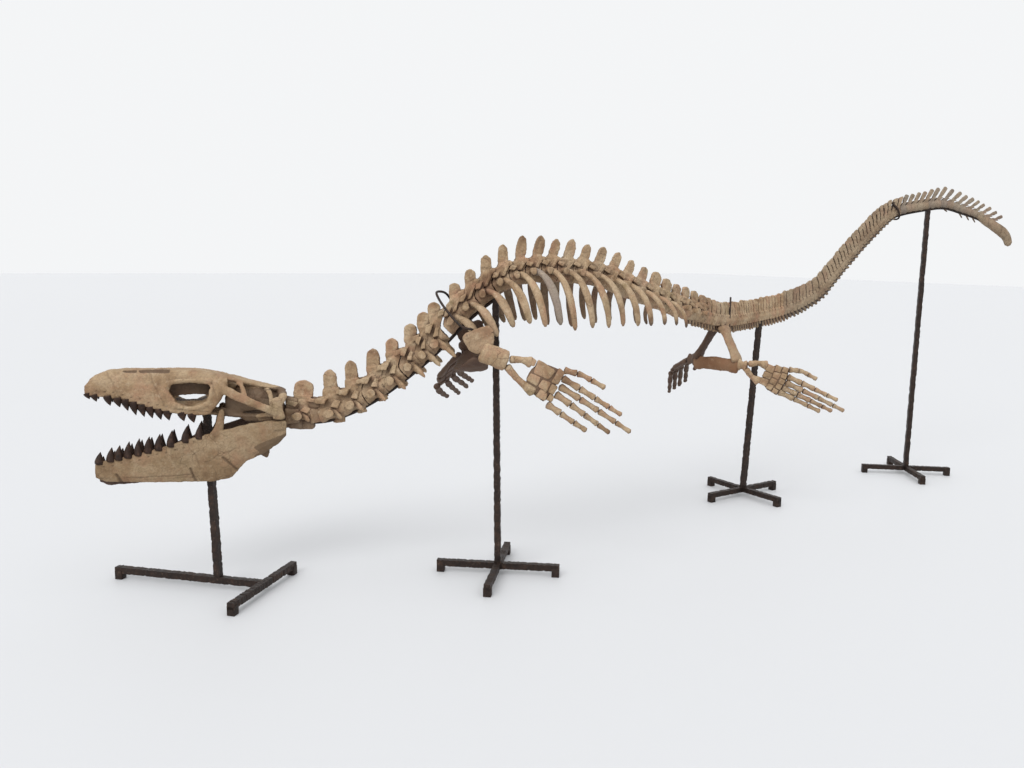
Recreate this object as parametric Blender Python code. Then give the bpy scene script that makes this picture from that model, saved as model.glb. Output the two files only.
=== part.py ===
"""Mounted mosasaur skeleton on four iron stands, life size.

Metres, +Z up. The floor is Z = 0, the head points to -X and the tail to +X, and the origin lies
on the floor under the middle of the mount. The column follows one swimming curve, every vertebra
is set along it, and the head, girdles and paddles are placed from it.
"""
import math
import random

import bmesh
import bpy
from mathutils import Matrix, Vector

GAP = 0.0003
UP = Vector((0.0, 0.0, 1.0))

# Line through the middles of the vertebrae, from the back of the skull to the tip of the tail
COLUMN_POINTS = (
    (-2.035, -0.107, 0.775), (-1.870, -0.154, 0.788), (-1.680, -0.220, 0.885),
    (-1.470, -0.295, 1.058), (-1.300, -0.345, 1.235), (-1.150, -0.377, 1.352),
    (-1.020, -0.391, 1.402), (-0.845, -0.394, 1.408), (-0.625, -0.366, 1.380),
    (-0.365, -0.293, 1.302), (-0.045, -0.160, 1.212), (0.350, 0.046, 1.140),
    (0.745, 0.271, 1.138), (1.025, 0.385, 1.160), (1.225, 0.430, 1.208),
    (1.390, 0.451, 1.283), (1.540, 0.460, 1.426), (1.710, 0.461, 1.594),
    (1.895, 0.450, 1.757), (2.005, 0.438, 1.808), (2.195, 0.414, 1.844),
    (2.345, 0.397, 1.858), (2.505, 0.381, 1.824), (2.670, 0.361, 1.776),
    (2.815, 0.339, 1.700), (2.900, 0.325, 1.588),
)

# Vertebrae: where the neck's stand along the column, then the pitch and count of the others
NECK_STATIONS = (0.055, 0.185, 0.290, 0.397, 0.500, 0.600, 0.682, 0.757)
CHEST_STATIONS = (0.880, 0.968, 1.060, 1.148, 1.224, 1.298, 1.372, 1.450)
BACK_STATIONS = (1.532, 1.617, 1.705, 1.802, 1.908, 2.012, 2.112)
LOIN_STATIONS = (2.212, 2.308, 2.405, 2.502, 2.605, 2.718, 2.828)
TAIL_PITCH, FAN_PITCH = 0.0655, 0.053
BASE_COUNT, RISE_COUNT, ARCH_COUNT, FAN_COUNT = 10, 10, 8, 17
NECK_END = 0.82
CHEST_END = 1.491
BACK_END = 2.162
LOIN_END = 2.8792
TAIL_BASE_END = LOIN_END + BASE_COUNT * TAIL_PITCH
TAIL_RISE_END = TAIL_BASE_END + RISE_COUNT * TAIL_PITCH
TAIL_ARCH_END = TAIL_RISE_END + ARCH_COUNT * TAIL_PITCH
TAIL_FAN_END = TAIL_ARCH_END + FAN_COUNT * FAN_PITCH

# Sizes that change along the column: (distance, size) pairs
CENTRUM_RADIUS = ((0.0, 0.036), (0.3, 0.042), (0.9, 0.040), (2.8, 0.036), (3.5, 0.032),
                  (4.2, 0.028), (4.8, 0.025), (5.4, 0.021), (5.9, 0.018))
SPINE_TOP = ((0.0, 0.150), (0.2, 0.185), (0.8, 0.172), (1.07, 0.178), (1.35, 0.165),
             (1.75, 0.150), (2.2, 0.135), (2.8, 0.105), (3.2, 0.112), (3.55, 0.118),
             (4.0, 0.092), (4.4, 0.086), (4.7, 0.086), (5.0, 0.110), (5.4, 0.090), (5.7, 0.055))
SPINE_WIDTH = ((0.0, 0.098), (0.08, 0.090), (0.12, 0.060), (0.5, 0.062), (0.8, 0.056),
               (0.95, 0.052), (1.3, 0.048), (2.0, 0.054), (2.3, 0.070), (2.79, 0.080),
               (2.81, 0.056), (4.0, 0.053), (4.72, 0.044), (4.8, 0.022), (5.7, 0.016))
SPINE_LEAN = ((0.0, 0.10), (0.2, 0.25), (0.4, 0.60), (0.6, 0.85), (0.9, 0.95), (1.07, 0.70),
              (1.2, 0.45), (1.4, 0.25), (2.2, 0.20), (3.0, 0.05), (3.6, 0.30), (4.3, 0.45),
              (4.8, 0.75), (5.7, 1.05))
CHEVRON_DEPTH = ((2.8, 0.066), (3.2, 0.080), (3.6, 0.078), (4.0, 0.058), (4.4, 0.050))
RIB_DROP = ((0, 0.10), (2, 0.135), (4, 0.205), (6, 0.235), (8, 0.235), (10, 0.195), (12, 0.150),
            (14, 0.115), (16, 0.085), (18, 0.060), (20, 0.045))
RIB_OUT = ((0, 0.085), (4, 0.125), (8, 0.135), (12, 0.115), (16, 0.085), (20, 0.060))
RIB_BACK = ((0, 0.115), (3, 0.105), (6, 0.075), (12, 0.070), (20, 0.060))
NECK_RIB = ((0, 0.035), (3, 0.055), (7, 0.100))
LAST_RIB = 19

# The head's frame: the tip of the snout over the floor, and the turn of the head
SNOUT = Vector((-2.879, -0.053, 0.0))
HEAD_YAW = math.radians(-3.6)

# Skull sections: distance from the snout, top, lower edge, half width of roof and of jaw edge
SKULL_SECTIONS = (
    (0.004, 0.952, 0.902, 0.010, 0.014), (0.040, 0.987, 0.892, 0.022, 0.036),
    (0.100, 1.004, 0.886, 0.030, 0.049), (0.170, 1.006, 0.868, 0.036, 0.058),
    (0.250, 1.004, 0.838, 0.042, 0.068), (0.330, 1.002, 0.815, 0.052, 0.081),
    (0.430, 0.998, 0.800, 0.068, 0.095), (0.495, 0.988, 0.802, 0.080, 0.106),
    (0.535, 0.978, 0.850, 0.086, 0.112), (0.575, 0.968, 0.912, 0.070, 0.100),
)
ORBIT_OUTLINE = ((0.338, 0.912), (0.350, 0.940), (0.425, 0.946), (0.498, 0.940), (0.511, 0.914),
                 (0.488, 0.868), (0.420, 0.840), (0.365, 0.866))
ORBIT_WINDOW = ((0.362, 0.882), (0.375, 0.908), (0.478, 0.908), (0.492, 0.884), (0.470, 0.862),
                (0.385, 0.862))
ORBIT_WALL = 0.030
NOSTRIL_FROM, NOSTRIL_TO = 0.165, 0.350
NOSTRIL_OUT, NOSTRIL_WIDTH, NOSTRIL_DEPTH = 0.017, 0.011, 0.028
QUADRATE_FOOT = 0.775

# Upper and lower teeth: distance from the snout and height of each tip
UPPER_TIPS = ((0.018, 0.884), (0.046, 0.874), (0.099, 0.856), (0.136, 0.848), (0.167, 0.832),
              (0.198, 0.812), (0.230, 0.804), (0.262, 0.797), (0.296, 0.790), (0.329, 0.786),
              (0.388, 0.781), (0.428, 0.773))
LOWER_TIPS = ((0.046, 0.655), (0.092, 0.674), (0.124, 0.682), (0.162, 0.697), (0.203, 0.709),
              (0.243, 0.716), (0.286, 0.726), (0.336, 0.740), (0.396, 0.756), (0.452, 0.765))
TOOTH_RADIUS = 0.0135

# Lower jaw: distance from the snout, lower edge, upper edge
JAW_SECTIONS = (
    (0.031, 0.560, 0.606), (0.075, 0.530, 0.616), (0.183, 0.519, 0.640), (0.300, 0.514, 0.668),
    (0.417, 0.512, 0.702), (0.500, 0.511, 0.722), (0.575, 0.524, 0.742), (0.640, 0.596, 0.757),
    (0.715, 0.628, 0.770), (0.775, 0.668, 0.7745), (0.812, 0.705, 0.735),
)
JAW_OUT = ((0.03, 0.020), (0.20, 0.040), (0.42, 0.066), (0.60, 0.100), (0.81, 0.122))
JAW_HALF_THICK = ((0.03, 0.011), (0.20, 0.015), (0.50, 0.018), (0.81, 0.016))
JAW_HINGE = (0.785, 0.760)
JAW_RIGHT_DROP = math.radians(2.2)

# Paddle, seen flat: reach of each fingertip along the paddle and across it, first finger first
FRONT_TIPS = ((0.432, 0.112), (0.563, 0.045), (0.642, -0.002), (0.560, -0.052), (0.464, -0.095))
HIND_TIPS = ((0.410, 0.092), (0.560, 0.036), (0.633, -0.002), (0.561, -0.032), (0.499, -0.062))
WRIST_FROM, WRIST_TO = 0.100, 0.250
KNUCKLE_PITCH = 0.041
PHALANX_RADIUS = 0.0145

# Girdles, in level frames on the column: (backward, left, height)
SHOULDER_AT, HIP_AT = 1.035, 2.740
SCAPULA_LINE = ((-0.040, 0.160, 1.178), (-0.022, 0.166, 1.130), (0.012, 0.171, 1.082))
CORACOID_LINE = ((-0.020, 0.150, 1.050), (-0.040, 0.085, 0.998), (-0.060, 0.006, 0.975))
ILIUM_LINE = ((0.015, 0.020, 1.114), (0.010, 0.065, 1.030), (0.004, 0.105, 0.960),
              (0.000, 0.125, 0.915))
PUBIS_LINE = ((-0.010, 0.118, 0.885), (-0.014, 0.060, 0.886), (-0.016, GAP / 2, 0.888))
SHOULDER_HOOP = [(-0.045, 0.160, 1.174), (-0.085, 0.150, 1.205), (-0.135, 0.105, 1.265),
                 (-0.172, 0.055, 1.312), (-0.190, 0.0, 1.332)]

# Middle lines of the paddles, from elbow or knee to the tip of the middle finger
FRONT_LEFT = ((-1.163, -0.552, 1.034), (-0.960, -0.612, 0.920), (-0.780, -0.668, 0.808),
              (-0.600, -0.715, 0.700))
FRONT_RIGHT = ((-1.250, -0.195, 1.043), (-1.270, -0.080, 0.960), (-1.235, 0.040, 0.885),
               (-1.080, 0.260, 0.800))
HIND_LEFT = ((0.415, -0.132, 0.900), (0.600, -0.190, 0.818), (0.780, -0.245, 0.735),
             (0.961, -0.300, 0.649))
HIND_RIGHT = ((0.272, 0.225, 0.905), (0.290, 0.330, 0.825), (0.325, 0.420, 0.755),
              (0.510, 0.640, 0.675))

# Iron stands
JOINT_GAP = 0.0004
BAR = 0.030
BAR_TOP = 0.058
FOOT = 0.036
POLE = 0.030
CROSS_HALF = 0.292
HEAD_POLE_FOOT, HEAD_POLE_TOP = (-2.380, -0.118, BAR_TOP + GAP), (-2.398, -0.083, 0.850)
CHEST_POLE_FOOT, CHEST_POLE_TOP = (-1.137, -0.379, BAR_TOP + GAP), (-1.156, -0.378, 1.345)
HIP_POLE_FOOT, HIP_POLE_TOP = (0.789, 0.344, BAR_TOP + GAP), (0.822, 0.309, 1.135)
TAIL_POLE_FOOT, TAIL_POLE_TOP = (2.213, 0.420, BAR_TOP + GAP), (2.222, 0.411, 1.868)
CHEST_POLE_AT, HIP_POLE_AT, CHEVRON_CLEAR = 1.075, 3.245, 0.040
TAIL_RAIL = (4.25, 5.50, 0.007)

BONE = (0.376, 0.283, 0.180, 1.0)
IRON = (0.030, 0.020, 0.016, 1.0)

rng = random.Random(66)


def table(pairs, at):
    """Value of a (place, size) table at a place, on straight lines between its pairs."""
    if at <= pairs[0][0]:
        return pairs[0][1]
    for (low, first), (high, second) in zip(pairs, pairs[1:]):
        if at <= high:
            return first + (second - first) * (at - low) / (high - low)
    return pairs[-1][1]


def smooth_line(points, steps=12):
    """Points along a smooth curve that passes through the given ones."""
    knots = [Vector(p) for p in points]
    padded = [2 * knots[0] - knots[1]] + knots + [2 * knots[-1] - knots[-2]]
    line = []
    for i in range(1, len(padded) - 2):
        before, start, end, after = padded[i - 1:i + 3]
        for k in range(steps):
            t = k / steps
            line.append(0.5 * (2 * start + (end - before) * t
                               + (2 * before - 5 * start + 4 * end - after) * t * t
                               + (3 * start - before - 3 * end + after) * t ** 3))
    line.append(knots[-1])
    return line


COLUMN_LINE = smooth_line(COLUMN_POINTS)
COLUMN_DISTANCE = [0.0]
for first, second in zip(COLUMN_LINE, COLUMN_LINE[1:]):
    COLUMN_DISTANCE.append(COLUMN_DISTANCE[-1] + (second - first).length)


def column_at(distance):
    """Point of the column's line at a distance from the skull."""
    distance = min(max(distance, 0.0), COLUMN_DISTANCE[-1] - 1e-6)
    index = next(i for i, d in enumerate(COLUMN_DISTANCE) if d > distance)
    low, high = COLUMN_DISTANCE[index - 1], COLUMN_DISTANCE[index]
    return COLUMN_LINE[index - 1].lerp(COLUMN_LINE[index], (distance - low) / (high - low))


def column_frame(distance):
    """Middle of the column, its backward, left and upward directions there."""
    step = 0.03
    back = (column_at(distance + step) - column_at(distance - step)).normalized()
    left = back.cross(UP).normalized()
    return column_at(distance), back, left, left.cross(back)


def ring_mesh(rings):
    """Closed solid through rings of equal count, with flat ends."""
    bm = bmesh.new()
    rows = [[bm.verts.new(p) for p in ring] for ring in rings]
    count = len(rows[0])
    for row, following in zip(rows, rows[1:]):
        for i in range(count):
            j = (i + 1) % count
            bm.faces.new((row[i], row[j], following[j], following[i]))
    bm.faces.new(rows[0])
    bm.faces.new(rows[-1])
    bmesh.ops.recalc_face_normals(bm, faces=bm.faces)
    return bm


def sweep(points, widths, depths, across, sides=6, turn=0.5, grow=0.0):
    """Bone along points, oval in section: half width towards across, half depth square to it.

    With grow it is that much larger all round, to shape a neighbour that it touches.
    """
    points = [Vector(p) for p in points]
    if grow:
        points[0] = points[0] + (points[0] - points[1]).normalized() * grow
        points[-1] = points[-1] + (points[-1] - points[-2]).normalized() * grow
    widths = [width + grow for width in widths]
    depths = [depth + grow for depth in depths]
    rings = []
    for i, point in enumerate(points):
        ahead = points[min(i + 1, len(points) - 1)] - points[max(i - 1, 0)]
        ahead.normalize()
        side = (across - ahead * across.dot(ahead)).normalized()
        normal = ahead.cross(side)
        ring = []
        for k in range(sides):
            angle = 2 * math.pi * (k + turn) / sides
            ring.append(point + side * math.cos(angle) * widths[i]
                        + normal * math.sin(angle) * depths[i])
        rings.append(ring)
    return ring_mesh(rings)


def blade(root, tip, along, width, tip_width, thick, tip_thick):
    """Flat tongue from root to tip with a rounded end; its broad side lies along the given way."""
    root, tip = Vector(root), Vector(tip)
    rise = tip - root
    along = (along - rise * along.dot(rise) / rise.length_squared).normalized()
    side = along.cross(rise).normalized()
    outline = ((0.0, -width), (0.0, width), (0.82, tip_width), (1.0, tip_width * 0.45),
               (1.0, -tip_width * 0.45), (0.82, -tip_width))
    rings = []
    for sign in (-1, 1):
        rings.append([root + rise * h + along * w / 2
                      + side * sign * (thick + (tip_thick - thick) * h) / 2 for h, w in outline])
    return ring_mesh(rings)


def block(middle, size, axes):
    """Box with its sides along three given directions."""
    bm = bmesh.new()
    bmesh.ops.create_cube(bm, size=1.0)
    turn = Matrix(axes).transposed().to_4x4()
    bm.transform(Matrix.Translation(middle) @ turn @ Matrix.Diagonal((*size, 1.0)))
    bmesh.ops.recalc_face_normals(bm, faces=bm.faces)
    return bm


def tooth(root, tip, radius, sides=5):
    """Cone from its root in the jaw to its tip."""
    bm = bmesh.new()
    rise = Vector(tip) - Vector(root)
    bmesh.ops.create_cone(bm, segments=sides, radius1=radius, radius2=0.0, depth=rise.length,
                          cap_ends=True)
    turn = rise.to_track_quat('Z', 'Y').to_matrix().to_4x4()
    bm.transform(Matrix.Translation((Vector(tip) + Vector(root)) / 2) @ turn)
    return bm


def rod(points, radius, resolution=0):
    """Round bent rod with filled ends, from a curve."""
    curve = bpy.data.curves.new("rod", 'CURVE')
    curve.dimensions = '3D'
    curve.bevel_depth = radius
    curve.bevel_resolution = resolution
    curve.use_fill_caps = True
    spline = curve.splines.new('POLY')
    spline.points.add(len(points) - 1)
    for knot, point in zip(spline.points, points):
        knot.co = (*point, 1.0)
    obj = bpy.data.objects.new("rod", curve)
    bpy.context.scene.collection.objects.link(obj)
    bpy.context.view_layer.update()
    mesh = bpy.data.meshes.new_from_object(obj.evaluated_get(bpy.context.evaluated_depsgraph_get()))
    bm = bmesh.new()
    bm.from_mesh(mesh)
    bmesh.ops.remove_doubles(bm, verts=bm.verts, dist=1e-5)
    bmesh.ops.recalc_face_normals(bm, faces=bm.faces)
    bpy.data.objects.remove(obj)
    bpy.data.curves.remove(curve)
    bpy.data.meshes.remove(mesh)
    return bm


def move(bm, matrix):
    """The same solid moved by a matrix."""
    bm.transform(matrix)
    return bm


def new_object(name, bm, collection):
    mesh = bpy.data.meshes.new(name)
    bm.to_mesh(mesh)
    bm.free()
    obj = bpy.data.objects.new(name, mesh)
    collection.objects.link(obj)
    return obj


def combine(obj, pieces, operation, solver='EXACT'):
    """Join or cut an object with a collection of closed solids, and remove that collection."""
    tools = bpy.data.collections.new("tools")
    bpy.context.scene.collection.children.link(tools)
    for piece in pieces:
        new_object("tool", piece, tools)
    boolean = obj.modifiers.new("combine", 'BOOLEAN')
    boolean.operand_type = 'COLLECTION'
    boolean.collection = tools
    boolean.operation = operation
    boolean.solver = solver
    bpy.context.view_layer.update()
    result = bpy.data.meshes.new_from_object(
        obj.evaluated_get(bpy.context.evaluated_depsgraph_get()))
    obj.modifiers.clear()
    old = obj.data
    obj.data = result
    bpy.data.meshes.remove(old)
    for tool in list(tools.objects):
        bpy.data.objects.remove(tool)
    bpy.data.collections.remove(tools)


def bodies(bm):
    """Lists of the faces of each closed surface, the largest first."""
    left = set(bm.faces)
    found = []
    while left:
        seed = left.pop()
        group = [seed]
        stack = [seed]
        while stack:
            for edge in stack.pop().edges:
                for face in edge.link_faces:
                    if face in left:
                        left.remove(face)
                        group.append(face)
                        stack.append(face)
        found.append(group)
    found.sort(key=lambda faces: -sum(f.calc_area() for f in faces))
    return found


def tidy_mesh(bm):
    bmesh.ops.remove_doubles(bm, verts=bm.verts, dist=2e-6)
    bmesh.ops.dissolve_degenerate(bm, edges=bm.edges, dist=2e-6)
    bmesh.ops.triangulate(bm, faces=bm.faces)


def keep_largest(obj):
    """Keep only the largest closed surface of a node."""
    bm = bmesh.new()
    bm.from_mesh(obj.data)
    tidy_mesh(bm)
    for group in bodies(bm)[1:]:
        bmesh.ops.delete(bm, geom=group, context='FACES')
    loose = [v for v in bm.verts if not v.link_faces]
    bmesh.ops.delete(bm, geom=loose, context='VERTS')
    bm.to_mesh(obj.data)
    bm.free()


def material(name, colour, roughness, metallic=0.0):
    mat = bpy.data.materials.new(name)
    mat.use_nodes = True
    shader = mat.node_tree.nodes["Principled BSDF"]
    shader.inputs["Base Color"].default_value = colour
    shader.inputs["Roughness"].default_value = roughness
    shader.inputs["Metallic"].default_value = metallic
    mat.diffuse_color = colour
    return mat


def node(name, pieces, mat, cutters=(), solver='EXACT'):
    """One named solid: its pieces are joined, its cutters taken out."""
    obj = new_object(name, pieces[0], MOUNT)
    if len(pieces) > 1:
        combine(obj, pieces[1:], 'UNION', solver)
    if cutters:
        combine(obj, list(cutters), 'DIFFERENCE', solver)
    keep_largest(obj)
    obj.data.materials.clear()
    obj.data.materials.append(mat)
    for polygon in obj.data.polygons:
        polygon.material_index = 0
    return obj


def vary(size, share=0.06):
    return size * (1.0 + rng.uniform(-share, share))


# Column

def column_ring(distance, radius, sides, flat=1.0):
    """Ring square to the column around its middle."""
    middle, _, left, up = column_frame(distance)
    ring = []
    for k in range(sides):
        angle = 2 * math.pi * (k + 0.5) / sides
        ring.append(middle + up * math.cos(angle) * radius + left * math.sin(angle) * radius * flat)
    return ring


def arched_ring(distance, radius, arch_height):
    """Ring around a vertebral body and the arch that stands on it."""
    middle, _, left, up = column_frame(distance)
    half = ((0.45, -0.90), (0.98, -0.10), (0.60, 0.90), (0.42, arch_height))
    right = [(a * radius, b * radius) for a, b in half]
    return [middle + left * a + up * b for a, b in right + [(-a, b) for a, b in reversed(right)]]


def core(start, end, count, grow=0.0, stations=None):
    """Vertebral bodies of one length: full at each joint and waisted between."""
    pitch = (end - start) / count
    if stations is None:
        stations = [start + pitch * (k + 0.5) for k in range(count)]
    joints = [start + GAP / 2 - grow]
    joints += [(a + b) / 2 for a, b in zip(stations, stations[1:])]
    joints.append(end - GAP / 2 + grow)
    places = [(joints[0], False)]
    for station, joint in zip(stations, joints[1:]):
        places += [(station, True), (joint, False)]
    rings = []
    for distance, waist in places:
        radius = table(CENTRUM_RADIUS, distance) * (0.82 if waist else 1.0) + grow
        if end <= LOIN_END + GAP:
            rings.append(arched_ring(distance, radius, 1.55 if waist else 1.35))
        else:
            rings.append(column_ring(distance, radius, 6))
    return ring_mesh(rings)


def neural_spine(distance, thick=0.015):
    """Spine of one vertebra, with its root sunk in the vertebral body."""
    middle, back, left, up = column_frame(distance)
    lean = table(SPINE_LEAN, distance)
    way = (up + back * lean).normalized()
    stretch = 1.0 if distance < NECK_END + 0.4 else 1.0 / way.dot(up)
    width = vary(table(SPINE_WIDTH, distance))
    height = vary(table(SPINE_TOP, distance), 0.04)
    radius = table(CENTRUM_RADIUS, distance)
    return blade(middle + way * radius * 0.5, middle + way * height * stretch,
                 back, width * 0.92, width, thick * 1.3, thick * 0.8)


def rib(distance, side, drop, out, back_sweep, half_width=0.0145):
    """Rib that leaves the side of a vertebra, bows outwards and sweeps down and back."""
    middle, back, left, up = column_frame(distance)
    radius = table(CENTRUM_RADIUS, distance)
    level_back = Vector((back.x, back.y, 0.0)).normalized()
    root = middle + left * side * radius * 0.45 + UP * radius * 0.45
    steps = 4
    bow = math.radians(105)
    fall = (drop + radius * 0.45) / (1 - math.cos(bow))
    points = []
    for i in range(steps + 1):
        t = i / steps
        points.append(root + left * side * out * math.sin(bow * t) + level_back * back_sweep * t ** 0.8
                      - UP * fall * (1 - math.cos(bow * t)))
    widths = [half_width * (1.0 - 0.35 * i / steps) for i in range(steps + 1)]
    depths = [half_width * 0.62 * (1.0 - 0.3 * i / steps) for i in range(steps + 1)]
    return sweep(points, widths, depths, level_back, 4)


def neck_rib(index, distance, side):
    """Short rib of a neck vertebra that points down and back."""
    middle, back, left, up = column_frame(distance)
    radius = table(CENTRUM_RADIUS, distance)
    length = vary(table(NECK_RIB, index))
    root = middle + left * side * radius * 0.4 + up * radius * 0.2
    level_back = Vector((back.x, back.y, 0.0)).normalized()
    way = (level_back * 0.75 + left * side * 0.5 - UP * 0.45).normalized()
    bend = root + way * (radius * 0.7 + length * 0.4)
    tip = bend + (way - UP * 0.2).normalized() * length * 0.6
    return sweep((root, bend, tip), (0.017, 0.012, 0.007), (0.010, 0.008, 0.005), UP, 4)


def neck():
    pieces = [core(0.0, NECK_END, len(NECK_STATIONS), stations=NECK_STATIONS)]
    for index, station in enumerate(NECK_STATIONS):
        pieces.append(neural_spine(station, 0.020))
        for side in (1, -1):
            pieces.append(neck_rib(index, station, side))
    node("neck", pieces, bone, [core(NECK_END, CHEST_END, len(CHEST_STATIONS), JOINT_GAP, CHEST_STATIONS)])


def middle_wall(start, end):
    """Thin upright wall along the column that parts the rib cage into its two sides."""
    count = 10
    rings = []
    for k in range(count + 1):
        distance = start + (end - start) * k / count
        middle, _, left, _ = column_frame(distance)
        if k in (0, count):
            reach = column_frame(distance)[1] * (0.25 if k else -0.25)
            middle = middle + Vector((reach.x, reach.y, 0.0))
        rings.append([middle + left * GAP / 2 * a + UP * 0.6 * b
                      for a, b in ((-1, -1), (1, -1), (1, 1), (-1, 1))])
    return ring_mesh(rings)


def split_sides(obj, name, start, end, mat):
    """Part an object along the middle into a left and a right node."""
    combine(obj, [middle_wall(start, end)], 'DIFFERENCE')
    bm = bmesh.new()
    bm.from_mesh(obj.data)
    tidy_mesh(bm)
    groups = bodies(bm)[:2]
    middle, _, left, _ = column_frame((start + end) / 2)
    for group in groups:
        points = {v for f in group for v in f.verts}
        centre = sum((v.co for v in points), Vector()) / len(points)
        side = "left" if (centre - middle).dot(left) > 0 else "right"
        half = bmesh.new()
        copies = {v: half.verts.new(v.co) for v in points}
        for face in group:
            half.faces.new([copies[v] for v in face.verts])
        new_object(f"{name}_{side}", half, MOUNT).data.materials.append(mat)
    bm.free()
    bpy.data.objects.remove(obj)


def trunk(name, start, end, first, stations, split):
    """A length of the trunk with its ribs; the rib cage is parted into its two sides."""
    pieces = [core(start, end, len(stations), stations=stations)]
    for index, station in enumerate(stations, first):
        pieces.append(neural_spine(station, 0.016))
        for side in (1, -1) if index <= LAST_RIB else ():
            drop = vary(table(RIB_DROP, index))
            out = vary(table(RIB_OUT, index))
            sweep_back = vary(table(RIB_BACK, index), 0.1)
            width = 0.0155 if index < 13 else 0.0125
            pieces.append(rib(station, side, drop, out, sweep_back, width))
    obj = node(name, pieces, bone)
    if split:
        split_sides(obj, name, start, end, bone)


def tail(name, start, end, count, chevrons, cutters=()):
    """A length of the tail: bodies, tall flat spines above and chevrons below."""
    pieces = [core(start, end, count)]
    for k in range(count):
        station = start + (end - start) * (k + 0.5) / count
        middle, back, left, up = column_frame(station)
        pieces.append(neural_spine(station, 0.010))
        if chevrons and abs(station - HIP_POLE_AT) > CHEVRON_CLEAR:
            radius = table(CENTRUM_RADIUS, station)
            depth = vary(table(CHEVRON_DEPTH, station))
            way = (back * 0.75 - up).normalized()
            pieces.append(blade(middle + way * radius * 0.4, middle + way * depth * 1.22,
                                back, 0.022, 0.015, 0.018, 0.009))
    node(name, pieces, bone, cutters)


def tail_end():
    """Last length of the tail: thin leaning spines, then a plain blunt tip."""
    total = COLUMN_DISTANCE[-1]
    tip_places = (TAIL_FAN_END - 0.02, (TAIL_FAN_END + total) / 2, total - 0.025, total)
    sizes = (0.024, 0.026, 0.024, 0.010)
    pieces = [core(TAIL_ARCH_END, TAIL_FAN_END, FAN_COUNT),
              ring_mesh([column_ring(place, size, 6, 0.7)
                         for place, size in zip(tip_places, sizes)])]
    pieces += [neural_spine(TAIL_ARCH_END + FAN_PITCH * (k + 0.5), 0.009)
               for k in range(FAN_COUNT)]
    node("tail_end", pieces, bone)


# Head

HEAD = Matrix.Translation(SNOUT) @ Matrix.Rotation(HEAD_YAW, 4, 'Z')


def prism(outline, low, high):
    """Solid of a side outline (distance, height) between two places across the head."""
    return ring_mesh([[Vector((x, y, z)) for x, z in outline] for y in (low, high)])


def skull_section(x, top, low, roof, edge, grow=0.0):
    """Ring across the skull at one distance from the snout."""
    low = low - grow
    middle = low + (top - low) * 0.45
    half = [(0.0, top), (roof, top - 0.008), (edge, middle), (edge * 0.96, low)]
    under = [(edge * 0.5, low + 0.016)]
    right = half[1:] + under
    ring = [Vector((x, 0.0, top))] + [Vector((x, y, z)) for y, z in right]
    ring.append(Vector((x, 0.0, low + 0.018)))
    ring += [Vector((x, -y, z)) for y, z in reversed(right)]
    return ring


def skull_edge(x):
    """Half width of the skull at its tooth edge, and the height of that edge."""
    widths = [(s[0], s[4]) for s in SKULL_SECTIONS]
    edges = [(s[0], s[2]) for s in SKULL_SECTIONS]
    return table(widths, x), table(edges, x)


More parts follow.
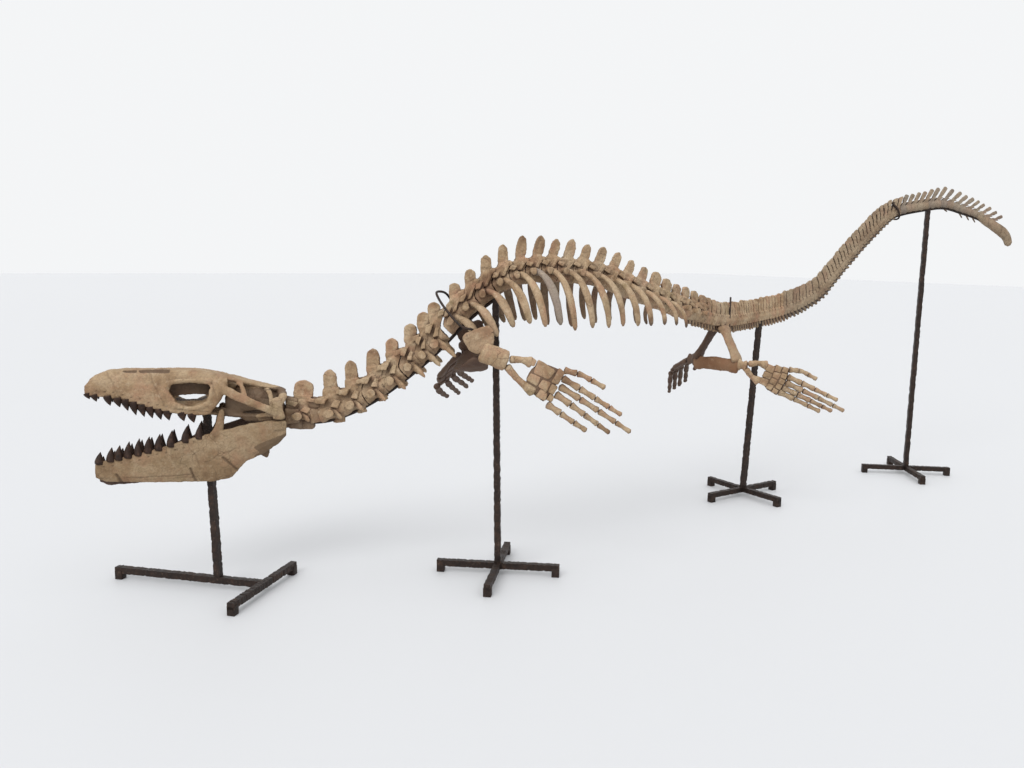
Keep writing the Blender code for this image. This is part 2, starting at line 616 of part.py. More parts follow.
def skull():
    pieces = [ring_mesh([skull_section(*section) for section in SKULL_SECTIONS])]
    across = Vector((0.0, 1.0, 0.0))
    pieces.append(sweep(((0.540, 0, 0.950), (0.640, 0, 0.930), (0.740, 0, 0.906), (0.826, 0, 0.882)),
                        (0.048, 0.028, 0.024, 0.034), (0.016, 0.014, 0.014, 0.013), across, 6))
    pieces.append(sweep(((0.600, 0, 0.892), (0.700, 0, 0.865), (0.790, 0, 0.826)),
                        (0.032, 0.052, 0.048), (0.036, 0.046, 0.046), across, 8))
    start, back, left, up = column_frame(0.0)
    condyle = HEAD.inverted() @ (start - back * GAP / 2)
    before = HEAD.inverted() @ (start - back * 0.055)
    pieces.append(sweep((before, condyle), (0.040, 0.034), (0.038, 0.034), across, 8))
    pieces.append(sweep(((0.770, 0, 0.83), before), (0.045, 0.040), (0.044, 0.038), across, 8))
    for side in (1, -1):
        pieces.append(sweep(((0.800, 0.0, 0.884), (0.806, side * 0.070, 0.886),
                             (0.786, side * 0.128, 0.872)),
                            (0.022, 0.018, 0.022), (0.012, 0.012, 0.014), Vector((1, 0, 0)), 6))
        pieces.append(sweep(((0.525, side * 0.090, 0.935), (0.590, side * 0.118, 0.900),
                             (0.690, side * 0.130, 0.848), (0.785, side * 0.134, 0.806)),
                            (0.024, 0.020, 0.017, 0.018), (0.012, 0.011, 0.010, 0.011), UP, 6))
        pieces.append(sweep(((0.795, side * 0.128, 0.895), (0.785, side * 0.128, 0.835),
                             (0.782, side * 0.126, QUADRATE_FOOT)),
                            (0.034, 0.022, 0.027), (0.012, 0.010, 0.016), Vector((1, 0, 0)), 6))
        pieces.append(sweep(((0.440, side * 0.040, 0.822), (0.560, side * 0.046, 0.800),
                             (0.690, side * 0.070, 0.788), (0.775, side * 0.118, 0.800)),
                            (0.024, 0.016, 0.014, 0.012), (0.012, 0.011, 0.011, 0.011),
                            across, 6))
        for x, tip in UPPER_TIPS:
            width, edge = skull_edge(x)
            root = Vector((x - 0.002, side * width * 0.80, edge + 0.014))
            pieces.append(tooth(root, (x + 0.004, side * width * 0.88, tip),
                                TOOTH_RADIUS * (0.8 if x < 0.06 else 1.0)))
    pieces = [move(piece, HEAD) for piece in pieces]
    cutters = []
    for side in (1, -1):
        cutters.append(prism(ORBIT_OUTLINE, side * ORBIT_WALL, side * 0.2))
        nostril = block(Vector(((NOSTRIL_FROM + NOSTRIL_TO) / 2, side * NOSTRIL_OUT, 1.0)),
                        (NOSTRIL_TO - NOSTRIL_FROM, NOSTRIL_WIDTH, NOSTRIL_DEPTH * 2),
                        ((1, 0, 0), (0, 1, 0), (0, 0, 1)))
        cutters.append(nostril)
    cutters.append(prism(ORBIT_WINDOW, -0.1, 0.1))
    cutters = [move(cutter, HEAD) for cutter in cutters]
    node("skull", pieces, bone, cutters, 'MANIFOLD')


def jaw_place(side):
    """Place of one half of the lower jaw; the right half hangs a little wider open."""
    if side < 0:
        return HEAD
    hinge = Vector((JAW_HINGE[0], 0.0, JAW_HINGE[1]))
    return (HEAD @ Matrix.Translation(hinge) @ Matrix.Rotation(-JAW_RIGHT_DROP, 4, 'Y')
            @ Matrix.Translation(-hinge))


def jaw_branch(side, grow=0.0):
    """Long curved plate of one half of the lower jaw."""
    rings = []
    for x, low, high in JAW_SECTIONS:
        out = table(JAW_OUT, x)
        thick = table(JAW_HALF_THICK, x) + grow
        shape = ((-0.6, 0.0), (0.6, 0.0), (1.0, 0.22), (1.0, 0.75), (0.55, 1.0), (-0.55, 1.0),
                 (-1.0, 0.75), (-1.0, 0.22))
        rings.append([Vector((x, side * (out + thick * a), low + (high - low) * b))
                      for a, b in shape])
    return ring_mesh(rings)


def jaw(name, side):
    """One half of the lower jaw with its teeth."""
    pieces = [jaw_branch(side)]
    out = table(JAW_OUT, 0.545)
    pieces.append(blade((0.512, side * out, 0.690), (0.548, side * (out - 0.008), 0.824),
                        Vector((1, 0, 0)), 0.085, 0.024, 0.020, 0.012))
    for x, tip in LOWER_TIPS:
        edge = table([(s[0], s[2]) for s in JAW_SECTIONS], x)
        out = table(JAW_OUT, x)
        pieces.append(tooth((x, side * out, edge - 0.012), (x + 0.005, side * out, tip),
                            TOOTH_RADIUS))
    pieces = [move(piece, jaw_place(side)) for piece in pieces]
    node(name, pieces, bone)


# Paddles

def paddle(name, line, across, tips, cutters):
    """Two forearm or shin bones, the wrist and five fingers, laid along a bent middle line."""
    knots = smooth_line(line, 8)
    distances = [0.0]
    for a, b in zip(knots, knots[1:]):
        distances.append(distances[-1] + (b - a).length)

    def place(u, v, w=0.0):
        index = next((i for i, d in enumerate(distances) if d > u), len(distances) - 1)
        low, high = distances[index - 1], distances[index]
        point = knots[index - 1] + (knots[index] - knots[index - 1]) * (u - low) / (high - low)
        ahead = (knots[index] - knots[index - 1]).normalized()
        side = (across - ahead * across.dot(ahead)).normalized()
        return point + side * v + ahead.cross(side) * w

    pieces = []
    for sign in (1, -1):
        path = [place(0.004, 0.012 * sign), place(0.055, 0.042 * sign),
                place(WRIST_FROM + 0.024, 0.052 * sign)]
        pieces.append(sweep(path, (0.015, 0.0115, 0.024), (0.013, 0.009, 0.012), across, 6))
    wrist = [place(WRIST_FROM + (WRIST_TO - WRIST_FROM) * t, 0.004 * t) for t in (0.0, 0.45, 1.0)]
    pieces.append(sweep(wrist, (0.070, 0.090, 0.098), (0.010, 0.0115, 0.009), across, 8))
    for finger, (reach, spread) in enumerate(tips):
        root_v = KNUCKLE_PITCH * (1.9 - finger)
        joints = 3
        points, widths, depths = [], [], []
        for i in range(2 * joints + 1):
            t = i / (2 * joints)
            u = WRIST_TO - 0.035 + (reach - WRIST_TO + 0.035) * t
            v = root_v + (spread - root_v) * t
            points.append(place(u, v))
            size = vary(PHALANX_RADIUS * (1.15 - 0.45 * t) * (1.0 if i % 2 == 0 else 0.66), 0.05)
            widths.append(size)
            depths.append(size * 0.8)
        pieces.append(sweep(points, widths, depths, across, 5))
    node(name, pieces, bone, cutters, 'MANIFOLD')


# Girdles

def placed(origin, points):
    """Points given as (back, left, height) in a level frame on the column."""
    middle, back, left, _ = column_frame(origin)
    level_back = Vector((back.x, back.y, 0.0)).normalized()
    level_left = level_back.cross(UP)
    return [Vector((middle.x, middle.y, 0.0)) + level_back * b + level_left * l + UP * z
            for b, l, z in points]


def mirrored(points, side):
    return [(b, l * side, z) for b, l, z in points]


def level_back_at(origin):
    _, back, _, _ = column_frame(origin)
    return Vector((back.x, back.y, 0.0)).normalized()


def grown(bone_shapes):
    """Slightly larger copies of swept bones, to seat a neighbour on them with a fine gap."""
    return [sweep(*shape, grow=JOINT_GAP) for shape in bone_shapes]


def shoulder(name, side, paddle_line, across, opposite=()):
    """Shoulder blade, coracoid, upper arm bone and paddle of one side, each its own solid."""
    back = level_back_at(SHOULDER_AT)
    socket = placed(SHOULDER_AT, [(-0.030, 0.172 * side, 1.072)])[0]
    elbow = Vector(paddle_line[0])
    scapula = (placed(SHOULDER_AT, mirrored(SCAPULA_LINE, side)), (0.072, 0.066, 0.036),
               (0.009, 0.010, 0.018), back, 8)
    humerus = ((socket, (socket + elbow) / 2, elbow), (0.044, 0.040, 0.042),
               (0.023, 0.021, 0.020), UP, 8)
    coracoid = (placed(SHOULDER_AT, mirrored(CORACOID_LINE, side)), (0.036, 0.062, 0.070),
                (0.014, 0.009, 0.007), back, 8)
    word = "left" if side > 0 else "right"
    node("scapula_" + word, [sweep(*scapula)], bone)
    node("humerus_" + word, [sweep(*humerus)], bone, grown([scapula]))
    node("coracoid_" + word, [sweep(*coracoid)], bone, grown([scapula, humerus, *opposite]))
    paddle(name, paddle_line, across, FRONT_TIPS, grown([humerus, coracoid]))
    return [scapula, coracoid]


def hip(name, side, paddle_line, across, opposite=()):
    """Hip bone, half of the bar under the body, thigh bone and paddle of one side."""
    back = level_back_at(HIP_AT)
    start = placed(HIP_AT, [(0.0, 0.128 * side, 0.905)])[0]
    knee = Vector(paddle_line[0])
    ilium = (placed(HIP_AT, mirrored(ILIUM_LINE, side)), (0.044, 0.029, 0.032, 0.048),
             (0.014, 0.012, 0.014, 0.018), back, 6)
    femur = ((start, (start + knee) / 2, knee), (0.036, 0.024, 0.033), (0.020, 0.015, 0.016),
             UP, 8)
    pubis = (placed(HIP_AT, mirrored(PUBIS_LINE, side)), (0.040, 0.031, 0.037),
             (0.017, 0.014, 0.016), UP, 6)
    word = "left" if side > 0 else "right"
    node("ilium_" + word, [sweep(*ilium)], bone,
         [core(BACK_END, LOIN_END, len(LOIN_STATIONS), JOINT_GAP, LOIN_STATIONS)])
    node("femur_" + word, [sweep(*femur)], bone, grown([ilium]))
    node("pubis_" + word, [sweep(*pubis)], bone, grown([ilium, femur, *opposite]))
    paddle(name, paddle_line, across, HIND_TIPS, grown([femur, pubis]))
    return [pubis]


# Stands

def cross_base(name, middle, yaws, half=CROSS_HALF):
    """Two crossing square bars on four small feet."""
    pieces = []
    centre = Vector((middle[0], middle[1], BAR_TOP - BAR / 2))
    for yaw in yaws:
        way = Vector((math.cos(math.radians(yaw)), math.sin(math.radians(yaw)), 0.0))
        side = Vector((-way.y, way.x, 0.0))
        pieces.append(block(centre, (2 * half, BAR, BAR), (way, side, UP)))
        for sign in (1, -1):
            spot = centre + way * sign * (half - FOOT / 2 + 0.003)
            spot.z = (BAR_TOP - BAR / 2) / 2
            pieces.append(block(spot, (FOOT, FOOT, BAR_TOP - BAR / 2), (way, side, UP)))
    node(name, pieces, iron)


def tee_base(name, bar_end, tee_middle, tee_yaw, tee_half):
    """Long bar with a cross bar at its end, on three small feet."""
    level = BAR_TOP - BAR / 2
    start = Vector((*bar_end, level))
    end = Vector((*tee_middle, level))
    way = (end - start).normalized()
    side = Vector((-way.y, way.x, 0.0))
    pieces = [block((start + end) / 2, ((end - start).length, BAR, BAR), (way, side, UP))]
    foot = start + way * FOOT / 2
    foot.z = level / 2
    pieces.append(block(foot, (FOOT, FOOT, level), (way, side, UP)))
    tee_way = Vector((math.cos(math.radians(tee_yaw)), math.sin(math.radians(tee_yaw)), 0.0))
    tee_side = Vector((-tee_way.y, tee_way.x, 0.0))
    pieces.append(block(end, (2 * tee_half, BAR, BAR + 0.001), (tee_way, tee_side, UP)))
    for sign in (1, -1):
        spot = end + tee_way * sign * (tee_half - FOOT / 2 + 0.003)
        spot.z = level / 2
        pieces.append(block(spot, (FOOT, FOOT, level), (tee_way, tee_side, UP)))
    node(name, pieces, iron)


def pole(foot, top, yaw):
    """Square pole between two points, a little thinner at its top."""
    foot, top = Vector(foot), Vector(top)
    way = Vector((math.cos(math.radians(yaw)), math.sin(math.radians(yaw)), 0.0))
    side = Vector((-way.y, way.x, 0.0))
    rings = []
    for point, half in ((foot, POLE / 2), (top, POLE * 0.46)):
        rings.append([point + way * half * a + side * half * b
                      for a, b in ((-1, -1), (1, -1), (1, 1), (-1, 1))])
    return ring_mesh(rings)


def rail(start, end, radius, grow=0.0):
    """Rod that runs close under the vertebral bodies."""
    count = round((end - start) / 0.095)
    points = []
    for k in range(count + 1):
        distance = start + (end - start) * k / count
        middle, _, _, up = column_frame(distance)
        points.append(middle - up * (table(CENTRUM_RADIUS, distance) * 0.92 + radius * 0.6))
    return sweep(points, [radius] * len(points), [radius] * len(points), UP, 5, grow=grow)


def hoop(name, distance, half_width, below, above, cutters):
    """Iron ring around one joint of the column."""
    middle, _, left, up = column_frame(distance)
    radius = 0.0045
    sides = 5
    outline = ((-0.5, -below), (0.5, -below), (1.0, -below * 0.5), (1.0, below * 0.5),
               (0.28, above), (-0.28, above), (-1.0, below * 0.5), (-1.0, -below * 0.5))
    points = [middle + left * half_width * a + up * b for a, b in outline]
    rings = []
    for i, point in enumerate(points):
        way = (points[(i + 1) % len(points)] - points[i - 1]).normalized()
        across = left.cross(up)
        normal = way.cross(across)
        rings.append([point + (across * math.cos(a) + normal * math.sin(a)) * radius
                      for a in (2 * math.pi * k / sides for k in range(sides))])
    bm = bmesh.new()
    rows = [[bm.verts.new(p) for p in ring] for ring in rings]
    for i, row in enumerate(rows):
        following = rows[(i + 1) % len(rows)]
        for k in range(sides):
            m = (k + 1) % sides
            bm.faces.new((row[k], row[m], following[m], following[k]))
    bmesh.ops.recalc_face_normals(bm, faces=bm.faces)
    node(name, [bm], iron, cutters)


def head_pole():
    """Pole through the open jaws to the palate, with a bar between the halves of the jaw."""
    turn = HEAD.to_3x3()
    bar = block(HEAD @ Vector((0.485, 0.0, 0.600)), (0.020, 0.150, 0.020),
                (turn @ Vector((1, 0, 0)), turn @ Vector((0, 1, 0)), UP))
    palate = move(ring_mesh([skull_section(*section, grow=JOINT_GAP)
                             for section in SKULL_SECTIONS]), HEAD)
    sides = [move(jaw_branch(side, JOINT_GAP), jaw_place(side)) for side in (-1, 1)]
    node("stand_head_pole", [pole(HEAD_POLE_FOOT, HEAD_POLE_TOP, -34.4), bar], iron,
         [palate] + sides)


def chest_pole(girdles):
    """Pole up to the spine, arms out to the shoulder blades and a rod along the neck."""
    pieces = [pole(CHEST_POLE_FOOT, CHEST_POLE_TOP, -28.0)]
    for side in (1, -1):
        pieces.append(rod(placed(SHOULDER_AT, [(0.030, 0.0, 1.10), (0.0, 0.165 * side, 1.125)]),
                          0.009, 0))
    pieces.append(rail(0.030, CHEST_POLE_AT, 0.008))
    cutters = [core(0.0, NECK_END, len(NECK_STATIONS), JOINT_GAP, NECK_STATIONS),
               core(NECK_END, CHEST_END, len(CHEST_STATIONS), JOINT_GAP, CHEST_STATIONS)]
    node("stand_chest_pole", pieces, iron, cutters + grown(girdles))


def build():
    neck()
    trunk("chest", NECK_END, CHEST_END, 0, CHEST_STATIONS, True)
    trunk("back", CHEST_END, BACK_END, len(CHEST_STATIONS), BACK_STATIONS, True)
    trunk("loin", BACK_END, LOIN_END, len(CHEST_STATIONS + BACK_STATIONS), LOIN_STATIONS, False)
    tail("tail_base", LOIN_END, TAIL_BASE_END, BASE_COUNT, True,
         [core(TAIL_BASE_END, TAIL_RISE_END, RISE_COUNT, JOINT_GAP)])
    tail("tail_rise", TAIL_BASE_END, TAIL_RISE_END, RISE_COUNT, True,
         [core(TAIL_RISE_END, TAIL_ARCH_END, ARCH_COUNT, JOINT_GAP)])
    tail("tail_arch", TAIL_RISE_END, TAIL_ARCH_END, ARCH_COUNT, False,
         [core(TAIL_ARCH_END, TAIL_FAN_END, FAN_COUNT, JOINT_GAP)])
    tail_end()
    skull()
    jaw("jaw_left", -1)
    jaw("jaw_right", 1)
    left_girdle = shoulder("paddle_front_left", 1, FRONT_LEFT, Vector((0.461, -0.180, 0.868)))
    right_girdle = shoulder("paddle_front_right", -1, FRONT_RIGHT, Vector((0.85, 0.10, 0.50)),
                            left_girdle[1:])
    left_hip = hip("paddle_hind_left", 1, HIND_LEFT, Vector((0.394, -0.155, 0.906)))
    hip("paddle_hind_right", -1, HIND_RIGHT, Vector((0.90, 0.05, 0.40)), left_hip)
    tee_base("stand_head_base", (-2.812, 0.177), (-2.195, -0.245), 52.8, 0.258)
    cross_base("stand_chest_base", CHEST_POLE_FOOT, (-28.0, 60.0))
    cross_base("stand_hip_base", HIP_POLE_FOOT, (11.0, 101.0))
    cross_base("stand_tail_base", TAIL_POLE_FOOT, (-29.0, 66.0))
    head_pole()
    chest_pole(left_girdle + right_girdle)
    node("stand_hip_pole", [pole(HIP_POLE_FOOT, HIP_POLE_TOP, 11.0)], iron,
         [core(LOIN_END, TAIL_BASE_END, BASE_COUNT, JOINT_GAP)])
    node("stand_tail_pole", [pole(TAIL_POLE_FOOT, TAIL_POLE_TOP, -29.0),
                             rail(*TAIL_RAIL)], iron,
         [core(TAIL_RISE_END, TAIL_ARCH_END, ARCH_COUNT, JOINT_GAP),
          core(TAIL_ARCH_END, TAIL_FAN_END, FAN_COUNT, JOINT_GAP)])
    arc = placed(SHOULDER_AT, SHOULDER_HOOP + [(b, -l, z) for b, l, z in SHOULDER_HOOP[-2::-1]])
    node("stand_shoulder_hoop", [rod(arc, 0.0055)], iron, grown(left_girdle + right_girdle))
    hoop("stand_hip_hoop", LOIN_END, 0.040, 0.0366, 0.124,
         [core(BACK_END, LOIN_END, len(LOIN_STATIONS), JOINT_GAP, LOIN_STATIONS),
          core(LOIN_END, TAIL_BASE_END, BASE_COUNT, JOINT_GAP)])
    hoop("stand_tail_hoop", TAIL_ARCH_END, 0.030, 0.0350, 0.100,
         [rail(*TAIL_RAIL, grow=JOINT_GAP)])


for old in list(bpy.data.objects):
    bpy.data.objects.remove(old)

MOUNT = bpy.data.collections.new("mounted_mosasaur")
bpy.context.scene.collection.children.link(MOUNT)
bone = material("fossil_bone", BONE, 0.75)
iron = material("forged_iron", IRON, 0.55, 0.6)
build()
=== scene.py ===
"""Dressed model of the mounted mosasaur skeleton: bones, teeth, iron stands, floor and light."""
import math
import random

import bmesh
import bpy
from mathutils import Matrix, Vector


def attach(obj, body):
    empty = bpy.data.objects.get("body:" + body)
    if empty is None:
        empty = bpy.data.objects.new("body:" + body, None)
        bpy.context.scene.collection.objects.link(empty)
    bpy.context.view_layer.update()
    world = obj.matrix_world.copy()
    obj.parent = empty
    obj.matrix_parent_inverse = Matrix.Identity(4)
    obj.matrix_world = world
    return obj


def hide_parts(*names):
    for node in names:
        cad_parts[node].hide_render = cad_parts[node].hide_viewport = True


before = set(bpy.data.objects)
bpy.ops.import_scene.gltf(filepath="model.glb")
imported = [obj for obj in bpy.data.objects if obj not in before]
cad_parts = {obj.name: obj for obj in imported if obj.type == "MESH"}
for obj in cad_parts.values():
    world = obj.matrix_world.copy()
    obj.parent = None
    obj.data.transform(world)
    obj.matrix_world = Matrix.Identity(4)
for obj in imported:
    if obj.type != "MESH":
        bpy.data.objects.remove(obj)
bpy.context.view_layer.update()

UP = Vector((0.0, 0.0, 1.0))
rng = random.Random(41)

# Line through the middles of the vertebrae, from the back of the skull to the tip of the tail
COLUMN_POINTS = (
    (-2.035, -0.107, 0.775), (-1.870, -0.154, 0.788), (-1.680, -0.220, 0.885),
    (-1.470, -0.295, 1.058), (-1.300, -0.345, 1.235), (-1.150, -0.377, 1.352),
    (-1.020, -0.391, 1.402), (-0.845, -0.394, 1.408), (-0.625, -0.366, 1.380),
    (-0.365, -0.293, 1.302), (-0.045, -0.160, 1.212), (0.350, 0.046, 1.140),
    (0.745, 0.271, 1.138), (1.025, 0.385, 1.160), (1.225, 0.430, 1.208),
    (1.390, 0.451, 1.283), (1.540, 0.460, 1.426), (1.710, 0.461, 1.594),
    (1.895, 0.450, 1.757), (2.005, 0.438, 1.808), (2.195, 0.414, 1.844),
    (2.345, 0.397, 1.858), (2.505, 0.381, 1.824), (2.670, 0.361, 1.776),
    (2.815, 0.339, 1.700), (2.900, 0.325, 1.588),
)

NECK_STATIONS = (0.042, 0.185, 0.290, 0.397, 0.500, 0.600, 0.682, 0.757)
CHEST_STATIONS = (0.880, 0.968, 1.060, 1.148, 1.224, 1.298, 1.372, 1.450)
BACK_STATIONS = (1.532, 1.617, 1.705, 1.802, 1.908, 2.012, 2.112)
LOIN_STATIONS = (2.212, 2.308, 2.405, 2.502, 2.605, 2.718, 2.828)
TAIL_PITCH = 0.0655
BASE_COUNT, RISE_COUNT, ARCH_COUNT = 10, 10, 8
FAN_JOINTS = (4.713, 4.755, 4.798, 4.841, 4.885, 4.930, 4.978, 5.028, 5.079, 5.131, 5.183, 5.236,
              5.289, 5.342, 5.395, 5.448, 5.502)
FAN_CHEVRONS = (4.885, 5.030, 5.175, 5.235, 5.290)
NECK_END = 0.82
CHEST_END = 1.491
BACK_END = 2.162
LOIN_END = 2.8792
TAIL_BASE_END = LOIN_END + BASE_COUNT * TAIL_PITCH
TAIL_RISE_END = TAIL_BASE_END + RISE_COUNT * TAIL_PITCH
TAIL_ARCH_END = TAIL_RISE_END + ARCH_COUNT * TAIL_PITCH

# Sizes that change along the column: (distance, size) pairs
CENTRUM_RADIUS = ((0.0, 0.036), (0.3, 0.042), (0.9, 0.040), (2.8, 0.036), (3.5, 0.032),
                  (4.2, 0.029), (4.8, 0.029), (5.0, 0.028), (5.4, 0.023), (5.9, 0.018))
SPINE_TOP = ((0.0, 0.150), (0.2, 0.185), (0.8, 0.172), (1.07, 0.178), (1.35, 0.165),
             (1.75, 0.150), (2.2, 0.135), (2.8, 0.105), (3.2, 0.112), (3.55, 0.118),
             (4.0, 0.094), (4.4, 0.088), (4.7, 0.084), (5.0, 0.102), (5.4, 0.080), (5.7, 0.050))
SPINE_WIDTH = ((0.0, 0.098), (0.08, 0.090), (0.12, 0.060), (0.5, 0.062), (0.8, 0.056),
               (0.95, 0.052), (1.3, 0.048), (2.0, 0.054), (2.3, 0.070), (2.8, 0.080))
SPINE_LEAN = ((0.0, 0.10), (0.2, 0.25), (0.4, 0.60), (0.6, 0.85), (0.9, 0.95), (1.07, 0.70),
              (1.2, 0.45), (1.4, 0.25), (2.2, 0.20), (3.0, 0.05), (3.6, 0.30), (4.3, 0.45),
              (4.8, 0.75), (5.7, 1.05))
CHEVRON_DEPTH = ((2.3, 0.050), (2.8, 0.068), (3.2, 0.072), (3.6, 0.068), (4.0, 0.060), (4.4, 0.056),
                 (4.6, 0.046), (4.7, 0.036))
RIB_DROP = ((0, 0.10), (2, 0.135), (4, 0.205), (6, 0.235), (8, 0.235), (10, 0.195), (12, 0.150),
            (14, 0.115), (16, 0.085), (18, 0.060), (20, 0.045))
RIB_OUT = ((0, 0.085), (4, 0.125), (8, 0.135), (12, 0.115), (16, 0.085), (20, 0.060))
RIB_BACK = ((0, 0.115), (3, 0.105), (6, 0.075), (12, 0.070), (20, 0.060))
NECK_RIB = ((0, 0.035), (3, 0.055), (7, 0.100))
RIB_BOW = math.radians(105)
# Blocks around the first neck joint: place on the column, depth under it, size and stain
FIRST_JOINT = ((0.006, 0.002, 0.040, 0.30), (0.018, 0.040, 0.028, 0.60), (0.070, 0.046, 0.024, 0.50),
               (-0.020, 0.036, 0.024, 0.65), (0.108, 0.004, 0.037, 0.20), (0.006, -0.052, 0.030, 0.25),
               (0.104, -0.050, 0.026, 0.35))
FIRST_CHEVRON, LOIN_CHEVRON_GAP = 2.36, 0.034
SLATS_FROM, WIDE_SLATS_FROM, THIN_FAN_FROM = 2.55, 3.7, 5.2
LAST_RIB, FIRST_THIN_RIB, LAST_PALE_RIB = 14, 13, 10
RIB_WIDTHS = (1.0, 0.78, 0.95, 1.05, 0.95, 0.80, 0.62)
RIB_DEPTHS = (0.90, 0.62, 0.58, 0.60, 0.55, 0.50, 0.42)
RIB_TONES = (0.35, 0.42, 0.50, 0.46, 0.58, 0.52, 0.40, 0.95)


def table(pairs, at):
    """Value of a (place, size) table at a place, on straight lines between its pairs."""
    if at <= pairs[0][0]:
        return pairs[0][1]
    for (low, first), (high, second) in zip(pairs, pairs[1:]):
        if at <= high:
            return first + (second - first) * (at - low) / (high - low)
    return pairs[-1][1]


def vary(size, share=0.06):
    """Size made a little larger or smaller by chance."""
    return size * (1.0 + rng.uniform(-share, share))


def smooth_line(points, steps=12):
    """Points along a smooth curve that passes through the given ones."""
    knots = [Vector(p) for p in points]
    padded = [2 * knots[0] - knots[1]] + knots + [2 * knots[-1] - knots[-2]]
    line = []
    for i in range(1, len(padded) - 2):
        before, start, end, after = padded[i - 1:i + 3]
        for k in range(steps):
            t = k / steps
            line.append(0.5 * (2 * start + (end - before) * t
                               + (2 * before - 5 * start + 4 * end - after) * t * t
                               + (3 * start - before - 3 * end + after) * t ** 3))
    line.append(knots[-1])
    return line


def lengths_along(line):
    """Distance of each point of a line from its start."""
    distances = [0.0]
    for first, second in zip(line, line[1:]):
        distances.append(distances[-1] + (second - first).length)
    return distances


COLUMN_LINE = smooth_line(COLUMN_POINTS)
COLUMN_DISTANCE = lengths_along(COLUMN_LINE)


def point_on(line, distances, at):
    """Point and direction of a line at a distance from its start."""
    at = min(max(at, 0.0), distances[-1] - 1e-6)
    index = next(i for i, d in enumerate(distances) if d > at)
    share = (at - distances[index - 1]) / (distances[index] - distances[index - 1])
    return line[index - 1].lerp(line[index], share), (line[index] - line[index - 1]).normalized()


def column_frame(distance):
    """Middle of the column, its backward, left and upward directions there."""
    step = 0.03
    back = (point_on(COLUMN_LINE, COLUMN_DISTANCE, distance + step)[0]
            - point_on(COLUMN_LINE, COLUMN_DISTANCE, distance - step)[0]).normalized()
    left = back.cross(UP).normalized()
    return point_on(COLUMN_LINE, COLUMN_DISTANCE, distance)[0], back, left, left.cross(back)


def level(way):
    """Direction without its rise or fall."""
    return Vector((way.x, way.y, 0.0)).normalized()


# Materials

def linear(red, green, blue):
    """Colour for a shader from the usual 0 to 255 values."""
    values = []
    for value in (red, green, blue):
        value /= 255
        values.append(value / 12.92 if value <= 0.04045 else ((value + 0.055) / 1.055) ** 2.4)
    return (*values, 1.0)


class Finish:
    """A procedural material, with short ways to add its nodes."""

    def __init__(self, name):
        self.material = bpy.data.materials.new(name)
        self.material.use_nodes = True
        self.nodes = self.material.node_tree.nodes
        self.links = self.material.node_tree.links
        self.shader = self.nodes["Principled BSDF"]
        self.place = self.nodes.new("ShaderNodeTexCoord").outputs["Object"]

    def feed(self, socket, value):
        if isinstance(value, bpy.types.NodeSocket):
            self.links.new(value, socket)
        else:
            socket.default_value = value

    def add(self, kind, output, settings, inputs):
        """New node with its settings and named inputs; gives back one of its outputs."""
        node = self.nodes.new("ShaderNode" + kind)
        for name, value in settings.items():
            setattr(node, name, value)
        for name, value in inputs.items():
            self.feed(node.inputs[name], value)
        return node.outputs[output]

    def noise(self, scale, detail=4.0, rough=0.55, distortion=0.0):
        return self.add("TexNoise", "Fac", {}, {"Vector": self.place, "Scale": scale, "Detail": detail,
                                                "Roughness": rough, "Distortion": distortion})

    def cracks(self, scale, vector=None):
        return self.add("TexVoronoi", "Distance", {"feature": 'DISTANCE_TO_EDGE'},
                        {"Vector": vector or self.place, "Scale": scale})

    def ramp(self, factor, *stops):
        node = self.nodes.new("ShaderNodeValToRGB")
        self.feed(node.inputs["Fac"], factor)
        elements = node.color_ramp.elements
        while len(elements) < len(stops):
            elements.new(0.5)
        for element, (position, colour) in zip(elements, stops):
            element.position = position
            element.color = colour if isinstance(colour, tuple) else (colour, colour, colour, 1.0)
        return node.outputs["Color"]

    def mix(self, factor, first, second):
        return self.add("Mix", "Result", {"data_type": 'RGBA'},
                        {"Factor": factor, "A": first, "B": second})

    def sums(self, operation, first, second):
        node = self.nodes.new("ShaderNodeMath")
        node.operation = operation
        self.feed(node.inputs[0], first)
        self.feed(node.inputs[1], second)
        return node.outputs["Value"]

    def attribute(self, name):
        return self.add("Attribute", "Fac", {"attribute_name": name}, {})

    def hollows(self, distance):
        # Ambient occlusion, used to paint shade into hollows
        return self.add("AmbientOcclusion", "AO", {"samples": 6}, {"Distance": distance})

    def bump(self, height, strength, distance):
        normal = self.add("Bump", "Normal", {},
                          {"Height": height, "Strength": strength, "Distance": distance})
        self.links.new(normal, self.shader.inputs["Normal"])


